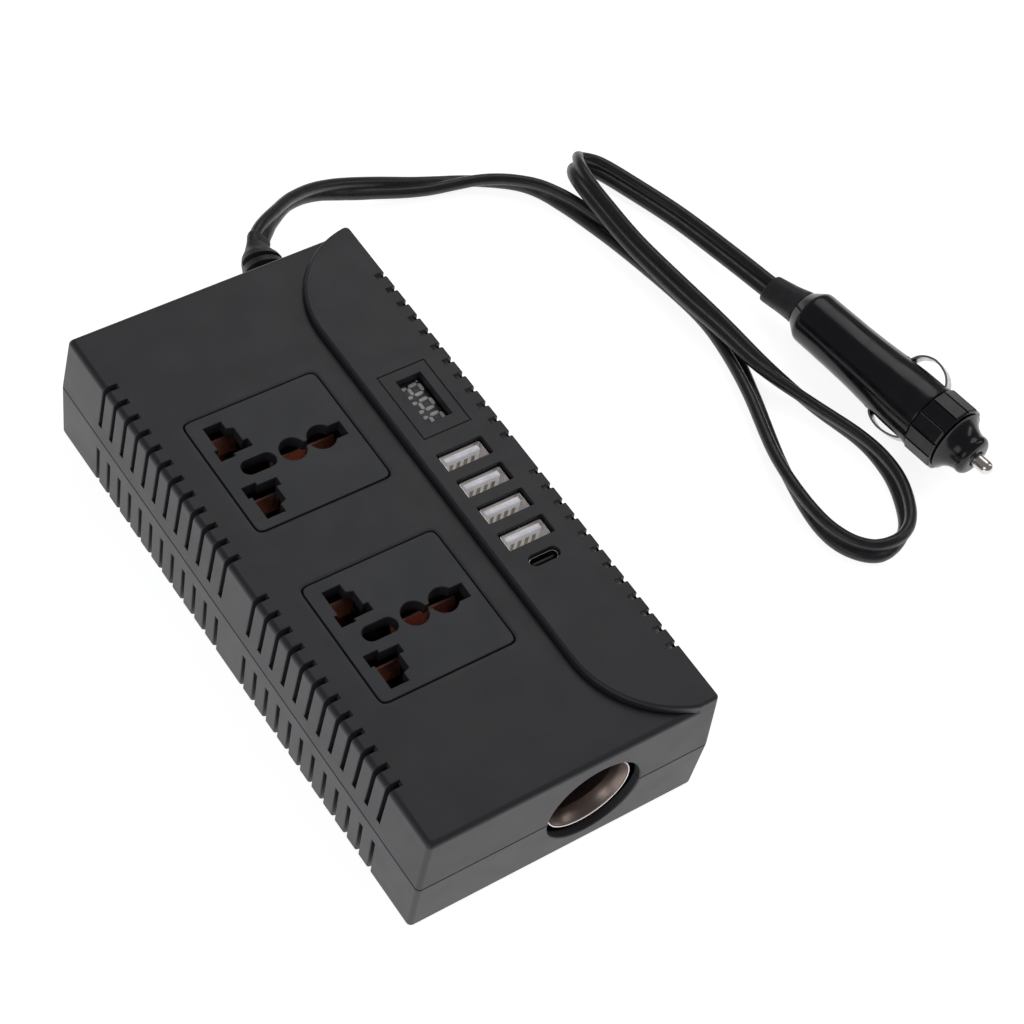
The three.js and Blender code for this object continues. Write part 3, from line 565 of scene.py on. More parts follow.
# Nickel darkened to brown as painted shade for the inside of the lighter socket's cup; lip_nickel is the
# same metal unshaded.
SHADED_SOCKET_NICKEL = polished_paint("socket_nickel", (0.27, 0.215, 0.19), 0.34)
LIP_NICKEL = polished_paint("lip_nickel", (0.86, 0.82, 0.79), 0.22)
SOFT = soft_paint("soft_pvc", (0.024, 0.024, 0.026), 0.46)
CORD = soft_paint("cord_pvc", (0.016, 0.016, 0.018), 0.34)
GLOSS = gloss_paint("plug_plastic", (0.007, 0.007, 0.009), 0.18)
SCREW = metal_paint("screw_steel", (0.16, 0.16, 0.17), (0.08, 0.08, 0.09), 0.35)
BOARD = board_paint("circuit_board", (0.015, 0.10, 0.035), (0.03, 0.17, 0.06))
FERRITE = soft_paint("ferrite", (0.055, 0.055, 0.058), 0.65)
TAPE = soft_paint("winding_tape", (0.62, 0.40, 0.04), 0.35)
SLEEVE = soft_paint("capacitor_sleeve", (0.02, 0.02, 0.05), 0.3)
ALUMINIUM = metal_paint("heat_sink_aluminium", (0.72, 0.72, 0.74), (0.5, 0.5, 0.52), 0.35, (1, 0.05, 1))
GLASS = Paint("fuse_glass", (0.8, 0.85, 0.85), 0.08).mottle(3, (0.6, 0.64, 0.64)).material

# ---- camera --------------------------------------------------------------------------------------
camera_data = bpy.data.cameras.new("camera")
camera_data.lens = CAMERA_LENS_MM
camera_data.sensor_width = CAMERA_SENSOR_MM
camera_data.clip_start = 0.01
camera = bpy.data.objects.new("camera", camera_data)
bpy.context.scene.collection.objects.link(camera)
turn = Matrix((CAMERA_RIGHT, CAMERA_UP, CAMERA_BACK)).transposed().to_4x4()
camera.matrix_world = Matrix.Translation(CAMERA_AT_M) @ turn
bpy.context.scene.camera = camera


# ---- cord ----------------------------------------------------------------------------------------
def route_point(t):
    i = min(int(t), len(CORD_ROUTE) - 2)
    return spline_point(CORD_ROUTE, i, t - i)


def cord_frame(t):
    """Centre, wide direction and thin direction of the cord at t, which counts the route's points."""
    last = len(CORD_ROUTE) - 1
    x, y, z, lean = route_point(t)
    ahead = Vector(route_point(min(t + 0.02, last))[:3])
    behind = Vector(route_point(max(t - 0.02, 0))[:3])
    along = (ahead - behind).normalized()
    level = along.cross(Vector((0, 0, 1))).normalized()
    up = level.cross(along).normalized()
    a = math.radians(lean)
    wide = level * math.cos(a) + up * math.sin(a)
    return Vector((x, y, z)), wide, along.cross(wide).normalized()


def cord_section():
    """Two round cores joined by a thin web."""
    points = []
    for side, start in ((1, -150), (-1, 30)):
        for k in range(13):
            a = math.radians(start + 25 * k)
            across = side * CORD_CORE_SPREAD + CORD_CORE_R * math.cos(a)
            points.append((across, CORD_CORE_R * math.sin(a)))
    return points


cord_rings, cord_path = [], []
for k in range((len(CORD_ROUTE) - 1) * CORD_PARTS + 1):
    centre, wide, thin = cord_frame(k / CORD_PARTS)
    cord_rings.append([tuple(centre + wide * a + thin * b) for a, b in cord_section()])
    cord_path.append(tuple(centre * MM))
cord = piece("cord_flex", loft(cord_rings), CORD, "case", ["cord"], 50)


# ---- plug ----------------------------------------------------------------------------------------
y_axis = PLUG_AXIS.cross(PLUG_SIDE).normalized()
x_axis = y_axis.cross(PLUG_AXIS).normalized()
plug_turn = Matrix((x_axis, y_axis, PLUG_AXIS)).transposed().to_4x4()
plug_frame = Matrix.Translation(PLUG_AT) @ plug_turn


def plug_piece(name, solid, material, body, replaced, angle=38.0):
    """A piece whose solid is given in the plug's own frame."""
    return piece(name, moved(solid, plug_frame), material, body, replaced, angle)


body_line = curve_through([
    (8.3, 1.2), (8.58, 2.4), (8.62, 6), (8.72, 12), (8.8, 18), (9.1, 25), (9.5, 31),
    (9.98, 36), (10.3, 42), (10.35, 49.4),
], 5)
neck_line = [(10.25, 49.75), (10.05, 49.9), (8.7, 49.9), (8.7, 58.2), (4.2, 58.2), (4.2, 24), (0, 24)]
shoulder_line = [(0, -2.5), (5.6, -2.5), (5.9, -2.3), (7.9, 0.6)]
plug_body = mesh_object("plug_housing", *turned(shoulder_line + body_line + neck_line, 96))
for x0, x1 in ((5, 14), (-14, -5)):
    cut(plug_body, box(x0, x1, -3.0, 3.0, 33.0, 48.9))
plug_body.data.transform(Matrix.Translation(PLUG_AT * MM) @ plug_turn)
finish_piece(plug_body, GLOSS, "case", ["plug_body"], 30)


def collar_solid():
    """A ring of long flats with a fine groove between each two."""
    levels = [
        (50.2, -0.35), (50.35, -0.1), (50.6, 0.0), (59.2, 0.0), (59.6, -0.15), (59.9, -0.5), (60.0, -0.9),
    ]
    rings = []
    for z, shift in levels:
        ring = []
        for k in range(COLLAR_RIBS):
            for part in (-0.5, -0.46, -0.42, -0.3, -0.1, 0.1, 0.3, 0.42, 0.46):
                a = 2 * math.pi * (k + part) / COLLAR_RIBS
                flat = COLLAR_FLAT_R / math.cos(2 * math.pi * part / COLLAR_RIBS)
                if abs(part) > 0.45:
                    flat *= 0.999
                groove = 0.42 if part == -0.5 else (0.12 if abs(part) > 0.45 else 0.0)
                deep = groove if 50.3 < z < 59.7 else 0.0
                r = min(flat, COLLAR_R) + shift - deep
                ring.append((r * math.cos(a), r * math.sin(a), z))
        rings.append(ring)
    count = len(rings[0])
    angles = [math.atan2(y, x) for x, y, _ in rings[0]]
    for r, z in ((7.9, 60.0), (7.9, 59.1), (9.0, 59.1), (9.0, 50.2)):
        rings.append([(r * math.cos(a), r * math.sin(a), z) for a in angles])
    verts, faces = loft(rings, False, False)
    last = (len(rings) - 1) * count
    for i in range(count):
        j = (i + 1) % count
        faces.append((last + i, last + j, j, i))
    return verts, faces


plug_collar = plug_piece("plug_ring", collar_solid(), GLOSS, "collar", ["plug_collar"], 22)
nose_line = [(8.6, 58.5), (8.6, 58.8), (7.6, 58.8), (7.6, 60.3), (9.6, 60.3)]
nose_line += curve_through([
    (9.75, 60.55), (9.0, 61.0), (7.9, 62.0), (7.05, 63.2), (6.5, 64.5), (6.3, 65.6), (6.38, 66.5),
    (6.2, 67.4), (5.5, 68.2), (4.5, 68.6),
], 5)
nose_line += [(2.9, 68.65), (2.6, 68.4), (2.5, 68.0), (2.5, 63), (4.5, 63), (4.5, 58.5)]
plug_nose = plug_piece(
    "plug_head", turned(nose_line, 96), GLOSS, "nose", ["plug_nose"], 30)
tip_line = [(0, 61.1), (4.1, 61.1), (4.1, 62.7), (2.2, 62.7), (2.2, 72.4)]
for k in range(1, 8):
    a = math.pi / 2 * k / 8
    tip_line.append((2.2 * math.cos(a), 72.4 + 2.25 * math.sin(a)))
tip_line.append((0, 74.65))
plug_tip = plug_piece("plug_pin", turned(tip_line, 64), NICKEL, "tip", ["plug_tip"], 40)
plug_fuse = nodes["plug_fuse"]
plug_fuse.data.materials.clear()
plug_fuse.data.materials.append(GLASS)


def bowed_strip(share):
    """A bowed contact strip whose height over its ends is share of the full one."""
    bow = curve_through([
        (8.6, 33.8), (9.6, 34.2), (11.6, 35.3), (13.1, 37.1), (13.95, 39.3), (14.1, 41.0), (13.7, 43.5),
        (12.6, 46.0), (10.6, 48.0), (8.8, 48.6),
    ], 5)
    bow = [(8.6 + (x - 8.6) * share, z) for x, z in bow]
    wide, flat = STRIP_HALF_W, STRIP_HALF_W - 0.1
    section = [
        (-wide, 0.05), (-flat, 0.0), (flat, 0.0), (wide, 0.05),
        (wide, STRIP_T - 0.05), (flat, STRIP_T), (-flat, STRIP_T), (-wide, STRIP_T - 0.05),
    ]
    rings = []
    count = len(bow)
    for i, (x, z) in enumerate(bow):
        a, b = bow[max(0, i - 1)], bow[min(count - 1, i + 1)]
        n = Vector((b[1] - a[1], a[0] - b[0])).normalized()
        rings.append([(x - n.x * depth, across, z - n.y * depth) for across, depth in section])
    return loft(rings)


# Both side springs wear the steel darkened as painted shade.
for index, (angle, share, body) in enumerate(((0, 1.0, "contact_a"), (math.pi, LOWER_BOW, "contact_b")), 1):
    strip = moved(bowed_strip(share), Matrix.Rotation(angle, 4, "Z"))
    plug_piece(
        f"side_spring_{index}", strip, SHADED_SPRING_STEEL, body, [f"side_contact_{index}"], 50)


def plug_boot_solid():
    """The tapering sleeve between the cord and the plug, nearly square in section."""
    power = 0.86
    stations = curve_through([
        (-14.9, -1.9, 4.2, 3.0), (-14.5, -1.85, 4.55, 3.4), (-12, -1.5, 4.75, 3.85), (-8, -0.9, 5.0, 4.5),
        (-5, -0.4, 5.35, 5.0), (-3.4, -0.15, 5.6, 5.4), (-2.7, 0, 5.5, 5.4),
    ], 6)
    rings = []
    for z, x, rx, ry in stations:
        ring = []
        for k in range(48):
            a = 2 * math.pi * k / 48
            c, s = math.cos(a), math.sin(a)
            across = math.copysign(abs(c) ** power, c)
            rise = math.copysign(abs(s) ** power, s)
            ring.append((x + rx * across, ry * rise, z))
        rings.append(ring)
    return loft(rings)


plug_boot = plug_piece("plug_sleeve", plug_boot_solid(), SOFT, "case", ["plug_boot"])


# ---- cord boot at the back wall ------------------------------------------------------------------
def cord_boot_solid():
    """A tapering sleeve, grooved on its upper and lower sides only, whose end wraps the cord's start."""
    outline = [
        (83.9, 25, 6.6, 6.6, 0), (87.3, 25, 6.6, 6.6, 0), (87.4, 25, 4.5, 4.5, 0), (90.6, 25, 4.5, 4.5, 0),
        (90.7, 25, 7.0, 6.6, 0), (94.7, 25.3, 6.9, 6.4, 0), (98.4, 26.0, 6.6, 6.0, 0),
        (102.1, 26.9, 6.2, 5.6, 0), (104.0, 27.5, 6.0, 5.2, 0), (105.6, 28.1, 5.6, 4.6, -8),
        (107.2, 28.8, 4.7, 3.6, -22), (108.7, 29.35, 4.2, 2.8, -30), (BOOT_END_Y, 29.9, 3.75, 2.2, -35),
    ]
    levels = [83.9, 87.3, 87.4, 90.6, 90.7, 91.0]
    y = 91.4
    while y < BOOT_END_Y:
        levels.append(y)
        y += 0.2
    levels.append(BOOT_END_Y)
    rings = []
    for y in levels:
        low = max(i for i, row in enumerate(outline) if row[0] <= y + 1e-9)
        a, b = outline[low], outline[min(low + 1, len(outline) - 1)]
        u = 0.0 if b[0] == a[0] else (y - a[0]) / (b[0] - a[0])
        x, rx, rz, lean = (a[i] + (b[i] - a[i]) * u for i in (1, 2, 3, 4))
        tilt = math.radians(lean)
        depth = 0.0
        for g0, g1 in BOOT_GROOVES:
            into = min(1.0, max(0.0, min(y - g0, g1 - y) / 0.22))
            depth = max(depth, BOOT_GROOVE_DEEP * into)
        turn_by = math.radians(-max(0.0, y - 92) * 1.65)
        ring = []
        for k in range(56):
            angle = 2 * math.pi * k / 56
            c, s = math.cos(angle), math.sin(angle)
            share = min(1.0, max(0.0, (abs(s) - 0.18) / 0.34))
            share = share * share * (3 - 2 * share)
            wide, thick = (rx - depth * share) * c, (rz - depth * share) * s
            across = wide * math.cos(tilt) - thick * math.sin(tilt)
            rise = wide * math.sin(tilt) + thick * math.cos(tilt)
            ring.append((x + across * math.cos(turn_by), y + across * math.sin(turn_by), SEAM_Z + rise))
        rings.append(ring)
    for t, grow in ((0.0, 0.32), (0.3, 0.28), (0.36, 0.2), (0.38, 0.06)):
        centre, wide_way, thin_way = cord_frame(t)
        ring = []
        for k in range(56):
            angle = 2 * math.pi * (k + 0.01) / 56
            c, s = math.cos(angle), math.sin(angle)
            r = CORD_CORE_R + grow
            across = math.copysign(CORD_CORE_SPREAD, c) + r * c
            ring.append(tuple(centre - wide_way * across + thin_way * (r * s)))
        rings.append(ring)
    return loft(rings)


cord_boot = piece("cord_sleeve", cord_boot_solid(), SOFT, "case", ["cord_boot"], 45)


# ---- case ----------------------------------------------------------------------------------------
def case_half(z):
    """Half the case's width and length at height z; its walls lean in away from the seam."""
    k = (z - SEAM_Z) / (TOP_Z - SEAM_Z) if z >= SEAM_Z else (SEAM_Z - z) / SEAM_Z
    inset_x, inset_y = (TOP_INSET_X, TOP_INSET_Y) if z >= SEAM_Z else (BOTTOM_INSET, BOTTOM_INSET)
    return SEAM_HALF_X - inset_x * k, SEAM_HALF_Y - inset_y * k


def shell_solid(z0, z1, inset, at_top, steps=8, seam=0.0):
    """One half of the case as a solid; its far edge is rounded, and its seam edge pulled in by seam."""
    levels = []
    for k in range(steps + 1):
        a = math.pi / 2 * k / steps
        levels.append((EDGE_R * (1 - math.sin(a)), EDGE_R * (1 - math.cos(a))))
    far, near, sign = (z1, z0, -1) if at_top else (z0, z1, 1)
    rings = []
    seam_levels = [(0.0, seam), (0.1, seam * 0.35), (0.3, 0.0)] if seam else [(0.0, 0.0)]
    rows = [(near - sign * d, pull) for d, pull in seam_levels]
    rows += [(far + sign * d, pull) for d, pull in levels]
    for z, pull in rows:
        hx, hy = case_half(z)
        r = max(1.0, CORNER_R - inset - pull * 0.5)
        outline = round_rect(hx - inset - pull, hy - inset - pull, r)
        rings.append([(x + CASE_X, y + CASE_Y, z) for x, y in outline])
    return loft(rings)


def panel_outline(z, inset=0.03):
    """The raised panel from above: it ends at the case's wall, and curves off at both inner ends."""
    hx, hy = (v - inset for v in case_half(z))
    r = CORNER_R - inset
    points = []
    for sy, start in ((-1, 270), (1, 0)):
        for k in range(9):
            a = math.radians(start + 90 / 8 * k)
            points.append((CASE_X + hx - r + r * math.cos(a), CASE_Y + sy * (hy - r) + r * math.sin(a)))
    back = math.asin((hy + CASE_Y - PANEL_CURVE_Y) / PANEL_CURVE_R)
    front = math.asin((hy - CASE_Y - PANEL_CURVE_Y) / PANEL_CURVE_R)
    cx = PANEL_LEFT_X + PANEL_CURVE_R
    for sign, angles in (
        (1, [back * (1 - k / 24) for k in range(25)]),
        (-1, [front * k / 24 for k in range(25)]),
    ):
        for a in angles:
            along = sign * PANEL_CURVE_Y + sign * PANEL_CURVE_R * math.sin(a)
            points.append((cx - PANEL_CURVE_R * math.cos(a), along))
    return points


def panel_solid(steps=8):
    """The raised panel with its upper edge rounded."""
    foot_z = TOP_Z - 2.5
    rings = [[(x, y, foot_z) for x, y in panel_outline(foot_z)]]
    for k in range(steps + 1):
        a = math.pi / 2 * k / steps
        z = PANEL_Z - PANEL_EDGE_R * (1 - math.sin(a))
        pull = PANEL_EDGE_R * (1 - math.cos(a))
        rings.append([(x, y, z) for x, y in grown(panel_outline(z), -pull)])
    return loft(rings)


def side_line(side, upper):
    """The case's outer line at a slot, in x and z, from the slot's seam end to its inner end."""
    sign = 1 if upper else -1
    start = SEAM_Z + sign * SLOT_SEAM_GAP
    end, r = (TOP_Z, EDGE_R) if upper else (0.0, EDGE_R)
    if upper and side > 0:
        end, r = PANEL_Z, PANEL_EDGE_R
    points = [(case_half(start)[0] + side * CASE_X, start)]
    for k in range(9):
        a = math.pi / 2 * k / 8
        z = end - sign * r * (1 - math.sin(a))
        points.append((case_half(z)[0] + side * CASE_X - r * (1 - math.cos(a)), z))
    points.append((SLOT_INNER_RIGHT if side > 0 else SLOT_INNER_LEFT, end))
    return [(side * x, z) for x, z in points]


def slot_mouth(side, upper, y):
    """A shallow sweep that rounds the two long rims of a slot."""
    line = side_line(side, upper)
    r = MOUTH_R
    half = SLOT_W / 2
    section = [(half + r, 0.6), (half + r, 0.0)]
    for degrees in (112.5, 135, 157.5):
        a = math.radians(degrees)
        section.append((half + r + r * math.cos(a), -r + r * math.sin(a)))
    section.append((half, -r))
    section += [(-across, depth) for across, depth in reversed(section)]
    rings = []
    for i, (x, z) in enumerate(line):
        a, b = line[max(0, i - 1)], line[min(len(line) - 1, i + 1)]
        n = Vector((b[1] - a[1], a[0] - b[0])).normalized()
        if n.x * side < -1e-6 or (abs(n.x) < 0.05 and n.y * (1 if upper else -1) < 0):
            n = -n
        rings.append([(x + n.x * depth, y + across, z + n.y * depth) for across, depth in section])
    return loft(rings)


def slot_cutters(upper):
    """The slots, the panel side's top openings behind a short rib, and the rounding of all rims."""
    deep, tops, mouths = [], [], []
    z0, z1 = (SEAM_Z + SLOT_SEAM_GAP, CUT_HIGH_Z) if upper else (-5, SEAM_Z - SLOT_SEAM_GAP)
    for side in (-1, 1):
        inner = SLOT_INNER_LEFT if side < 0 else SLOT_INNER_RIGHT
        ribbed = upper and side > 0
        x0, x1 = sorted((side * inner, side * 47))
        for end in (-1, 1):
            for k in range(SLOT_COUNT):
                y = end * (SLOT_FIRST_Y + k * SLOT_PITCH)
                y0, y1 = y - SLOT_W / 2, y + SLOT_W / 2
                deep.append(box(x0, x1, y0, y1, z0, SLOT_RIB_Z if ribbed else z1))
                if ribbed:
                    tops.append(box(inner, SLOT_RIB_X, y0, y1, z0 + 1, z1))
                mouths.append(slot_mouth(side, upper, y))
    return joined(deep), joined(tops), joined(mouths)


def turned_along_y(profile, x, z, sides=72):
    """Profile of (radius, y) turned about an axis along +Y through x, z."""
    matrix = Matrix.Translation((x, 0, z)) @ Matrix.Rotation(-math.pi / 2, 4, "X")
    return moved(turned(profile, sides), matrix)


def front_hole(upper):
    """The lighter socket's hole with a rounded rim that follows the leaning front wall."""
    r = 0.5
    out_y, in_y = CUT_FRONT_Y
    rim = [(SOCKET_HOLE_R + r, out_y), (SOCKET_HOLE_R + r, FRONT_Y)]
    for degrees in (22.5, 45, 67.5):
        a = math.radians(degrees)
        rim.append((SOCKET_HOLE_R + r * (1 - math.sin(a)), FRONT_Y + r * (1 - math.cos(a))))
    rim += [(SOCKET_HOLE_R, FRONT_Y + r), (SOCKET_HOLE_R, in_y)]
    verts, faces = turned_along_y([(0, out_y)] + rim + [(0, in_y)], SOCKET_X, SEAM_Z, 96)
    lean = TOP_INSET_Y / (TOP_Z - SEAM_Z) if upper else -BOTTOM_INSET / SEAM_Z
    leaning = [(x, y + lean * (z - SEAM_Z) if y > out_y + 1 else y, z) for x, y, z in verts]
    return leaning, faces


def grille():
    """The upright bars of air between the fan's guard ribs, through the back wall."""
    bars = []
    y0, y1 = CUT_BACK_Y
    lying = Matrix.Rotation(math.pi / 2, 4, "X") @ Matrix.Translation((0, 0, -y0 - y1))
    for dx in GRILLE_XS:
        h = math.sqrt(GRILLE_R**2 - dx**2)
        place = Matrix.Translation((FAN_X + dx, 0, FAN_Z)) @ lying
        bars.append(moved(prism(round_rect(1.1, h, 0.5, 4), y0, y1), place))
    return joined(bars)


def plate_outline(grow):
    """An outlet plate from above, with cut corners, pushed out by grow."""
    x, y, c = PLATE_X / 2 + grow, PLATE_Y / 2 + grow, PLATE_CUT
    corner = [(0, 1.35), (0.1, 0.78), (0.32, 0.32), (0.78, 0.1), (1.35, 0)]
    points = [(x - a * c, y - b * c) for a, b in corner]
    points += [(-x + a * c, y - b * c) for a, b in reversed(corner)]
    points += [(-x + a * c, -y + b * c) for a, b in corner]
    points += [(x - a * c, -y + b * c) for a, b in reversed(corner)]
    return points


def plate_recess(y):
    """The opening for an outlet plate, with a wide shallow bevel round its rim."""
    levels = [
        (CUT_LOW_Z, 0.0), (TOP_Z - 0.4, 0.0), (TOP_Z - 0.22, 0.08), (TOP_Z - 0.13, 0.25),
        (TOP_Z, 1.15), (TOP_Z + 2, 1.15),
    ]
    outline = anticlockwise(plate_outline(PLATE_GAP))
    return loft([[(px + PLATE_AT_X, py + y, z) for px, py in grown(outline, d)] for z, d in levels])


def post(r, z0, z1, x, y, sides=32):
    return prism(circle(r, sides), z0, z1, x, y)


upper_seam_z, lower_seam_z = SEAM_Z + SEAM_GAP / 2, SEAM_Z - SEAM_GAP / 2
top = mesh_object("case_top", *shell_solid(upper_seam_z, TOP_Z, 0, True, seam=SEAM_BEVEL))
cut(top, mouth_cutter(grown(panel_outline(TOP_Z), 0.3), TOP_Z - 0.45, TOP_Z, 0.12))
cut(top, panel_solid(), "UNION")
cut(top, shell_solid(SEAM_Z - 1, TOP_Z - WALL, WALL, True, 3))
cut(top, box(20.6, 40.9, -57, 57, CUT_LOW_Z, PANEL_Z - WALL))
cut(top, joined([post(3.4, upper_seam_z, TOP_Z - 1, x, y) for x, y in SCREWS]), "UNION")
cut(top, joined([post(1.55, SEAM_Z - 1, 33, x, y, 16) for x, y in SCREWS]))
deep_slots, top_slots, slot_mouths = slot_cutters(True)
cut(top, deep_slots)
cut(top, top_slots)
cut(top, slot_mouths)
cut(top, joined([plate_recess(y) for y in OUTLET_YS]))
usb_a_outline = round_rect(USB_A_OPENING[0] / 2, USB_A_OPENING[1] / 2, 0.35, 3)
usb_c_outline = round_rect(USB_C_OPENING[0] / 2, USB_C_OPENING[1] / 2, 1.75, 10)
x0, x1, y0, y1 = WINDOW
openings = [(usb_a_outline, PORT_X, y) for y in USB_A_YS]
openings.append((usb_c_outline, PORT_X, USB_C_Y))
openings.append(([(x0, y0), (x1, y0), (x1, y1), (x0, y1)], 0.0, 0.0))
cut(top, joined([
    mouth_cutter(outline, CUT_LOW_Z, PANEL_Z, PORT_RIM_R, x, y) for outline, x, y in openings
]))
x0, x1, y0, y1 = ENGRAVED
inner_y0, inner_y1 = y0 + ENGRAVED_W, y1 - ENGRAVED_W
for groove in (
    (x0, x1, y0, inner_y0), (x0, x1, inner_y1, y1),
    (x0, x0 + ENGRAVED_W, inner_y0, inner_y1), (x1 - ENGRAVED_W, x1, inner_y0, inner_y1),
):
    cut(top, box(*groove, PANEL_Z - 0.3, CUT_HIGH_Z))
cut(top, front_hole(True))
y0, y1 = CUT_BACK_Y
back_line = [(0, y0), (BOOT_HOLE_R, y0), (BOOT_HOLE_R, y1), (0, y1)]
back_hole = turned_along_y(back_line, BOOT_X, SEAM_Z, 48)
cut(top, back_hole)
cut(top, grille())
finish_piece(top, CASE, "case", ["top_shell"])

bottom = mesh_object("case_bottom", *shell_solid(0, lower_seam_z, 0, False, seam=SEAM_BEVEL))
cut(bottom, shell_solid(WALL, SEAM_Z + 1, WALL, False, 3))
screw_posts = [post(3.8, 1, lower_seam_z, x, y) for x, y in SCREWS]
board_posts = [post(2.6, 1, 4.9, x, y) for x, y in POSTS]
cut(bottom, joined(screw_posts + board_posts), "UNION")
cut(bottom, joined([post(3.0, -1, 3.2, x, y) for x, y in SCREWS]))
cut(bottom, joined([post(1.65, 2, 25, x, y, 24) for x, y in SCREWS]))
deep_slots, _, slot_mouths = slot_cutters(False)
cut(bottom, deep_slots)
cut(bottom, slot_mouths)
cut(bottom, front_hole(False))
cut(bottom, back_hole)
cut(bottom, grille())
finish_piece(bottom, CASE, "case", ["bottom_shell"])

# ---- outlets -------------------------------------------------------------------------------------
for index, y in enumerate(OUTLET_YS, 1):
    oy = y + HOLE_AXIS_Y
    under = TOP_Z - WALL
    face = mesh_object(f"outlet_plate_{index}", *rounded_plate(
        plate_outline(0), under - 0.5, TOP_Z, 0.25, PLATE_AT_X, y))
    cut(face, box(
        PLATE_AT_X - PLATE_FLANGE_X, PLATE_AT_X + PLATE_FLANGE_X, y - PLATE_FLANGE_Y, y + PLATE_FLANGE_Y,
        under - 1.3, under - 0.1,
    ), "UNION")
    mirrored = [(x, -b) for x, b in BLADE_HOLE]
    neutral_slot = [(12, -2.3), (17.2, -2.3), (17.2, 2.3), (12, 2.3)]
    holes = [
        mouth_cutter(outline, CUT_LOW_Z, TOP_Z, HOLE_R, OUTLET_X + dx, oy) for outline, dx in (
            (BLADE_HOLE, 0), (mirrored, 0), (round_rect(5.1, 2.4, 2.35, 10), -9.1),
            (circle(3.75), 1.4), (circle(4.0), 10.3), (neutral_slot, 0),
        )
    ]
    cut(face, joined(holes[:3]))
    cut(face, holes[3])
    cut(face, holes[4])
    cut(face, box(OUTLET_X + 3.5, OUTLET_X + 9, oy - 0.8, oy + 0.8, CUT_LOW_Z, CUT_HIGH_Z))
    cut(face, holes[5])
    finish_piece(face, PLATE, "case", [f"outlet_face_{index}"])

# ---- ports ---------------------------------------------------------------------------------------
def tube_solid(half_x, half_y, r, wall, z0, z1, x, y, steps=6):
    """A thin-walled tube of rounded rectangular section with a floor and a rolled rim."""
    rows = [
        (0.0, z0), (0.0, z1 - 0.12), (-0.05, z1 - 0.03), (-0.12, z1),
        (-wall + 0.1, z1), (-wall, z1 - 0.08), (-wall, z0 + 0.5),
    ]
    rings = []
    for d, z in rows:
        outline = round_rect(half_x + d, half_y + d, max(0.15, r + d), steps)
        rings.append([(px + x, py + y, z) for px, py in outline])
    return loft(rings)


base = PORT_BASE_Z
sx, sy = USB_A_SHELL
tongue_x = PORT_X - 0.2
for index, y in enumerate(USB_A_YS, 1):
    can = tube_solid(sx / 2, sy / 2, 0.75, 0.32, base, PANEL_Z - 1.3, PORT_X, y)
    piece(f"usb_a_can_{index}", can, PORT_STEEL, "case", [f"usb_a_shell_{index}"])
    tongue = joined([
        rounded_plate(round_rect(5.6, 0.9, 0.25, 3), base + 0.7, PANEL_Z - 1.2, 0.35, tongue_x, y + 1.0),
        box(PORT_X - 6.1, PORT_X + 6.1, y - 2.3, y + 2.3, base + 0.8, base + 4.2),
    ])
    piece(f"usb_a_insert_{index}", tongue, WHITE, "case", [f"usb_a_tongue_{index}"])
    pins = []
    for dx in (-3.5, -1.2, 1.1, 3.4):
        pin_x = tongue_x + dx
        pins.append(box(pin_x - 0.55, pin_x + 0.55, y - 0.1, y + 0.08, base + 4.2, PANEL_Z - 2.9))
    piece(f"usb_a_pins_{index}", joined(pins), PIN_METAL, "case")
sx, sy = USB_C_SHELL
can = tube_solid(sx / 2, sy / 2, sy / 2 - 0.02, 0.26, base, PANEL_Z - 1.1, PORT_X, USB_C_Y, 10)
piece("usb_c_can", can, PORT_STEEL, "case", ["usb_c_shell"])
piece("usb_c_insert", joined([
    rounded_plate(round_rect(3.3, 0.4, 0.2, 3), base + 0.7, PANEL_Z - 1.8, 0.15, PORT_X, USB_C_Y),
    box(PORT_X - 3.4, PORT_X + 3.4, USB_C_Y - 1.1, USB_C_Y + 1.1, base + 0.8, base + 5),
]), INNER, "case", ["usb_c_tongue"])


def segment(x0, y0, x1, y1):
    """A display segment: a flat bar with pointed ends, shortened by a gap at both."""
    half = SEGMENT_HALF_W
    a, b = Vector((x0, y0)), Vector((x1, y1))
    gap = (b - a).normalized() * SEGMENT_GAP
    a, b = a + gap, b - gap
    d = (b - a).normalized()
    n = Vector((-d.y, d.x))
    points = [a, a + (d + n) * half, b + (n - d) * half, b, b - (d + n) * half, a + (d - n) * half]
    z0, z1 = DISPLAY_FACE_Z - 0.05, DISPLAY_FACE_Z + 0.12
    return rounded_plate([tuple(p) for p in points], z0, z1, 0.12, steps=2)


x0, x1, y0, y1 = WINDOW[0] - 1.8, WINDOW[1] - 0.4, WINDOW[2] - 1.8, WINDOW[3] + 1.8
block = rounded_plate([(x0, y0), (x1, y0), (x1, y1), (x0, y1)], PORT_BASE_Z, DISPLAY_FACE_Z, 0.2)
piece("display_block", block, DISPLAY_FACE, "case", ["display_module"])
segments = []
top_x, mid_x, low_x = DIGIT_MID_X + DIGIT_HALF_H, DIGIT_MID_X, DIGIT_MID_X - DIGIT_HALF_H
lean = DIGIT_LEAN
for y in DIGIT_YS:
    left, right = y + DIGIT_HALF_W, y - DIGIT_HALF_W
    segments += [
        segment(top_x, left + lean, top_x, right + lean), segment(mid_x, left, mid_x, right),
        segment(low_x, left - lean, low_x, right - lean), segment(top_x, left + lean, mid_x, left),
        segment(top_x, right + lean, mid_x, right), segment(mid_x, left, low_x, left - lean),
        segment(mid_x, right, low_x, right - lean),
    ]
segments.append(prism(circle(0.25, 16), DISPLAY_FACE_Z - 0.05, DISPLAY_FACE_Z + 0.1, *DOT_AT))
piece("display_digits", joined(segments), DIGIT, "case")

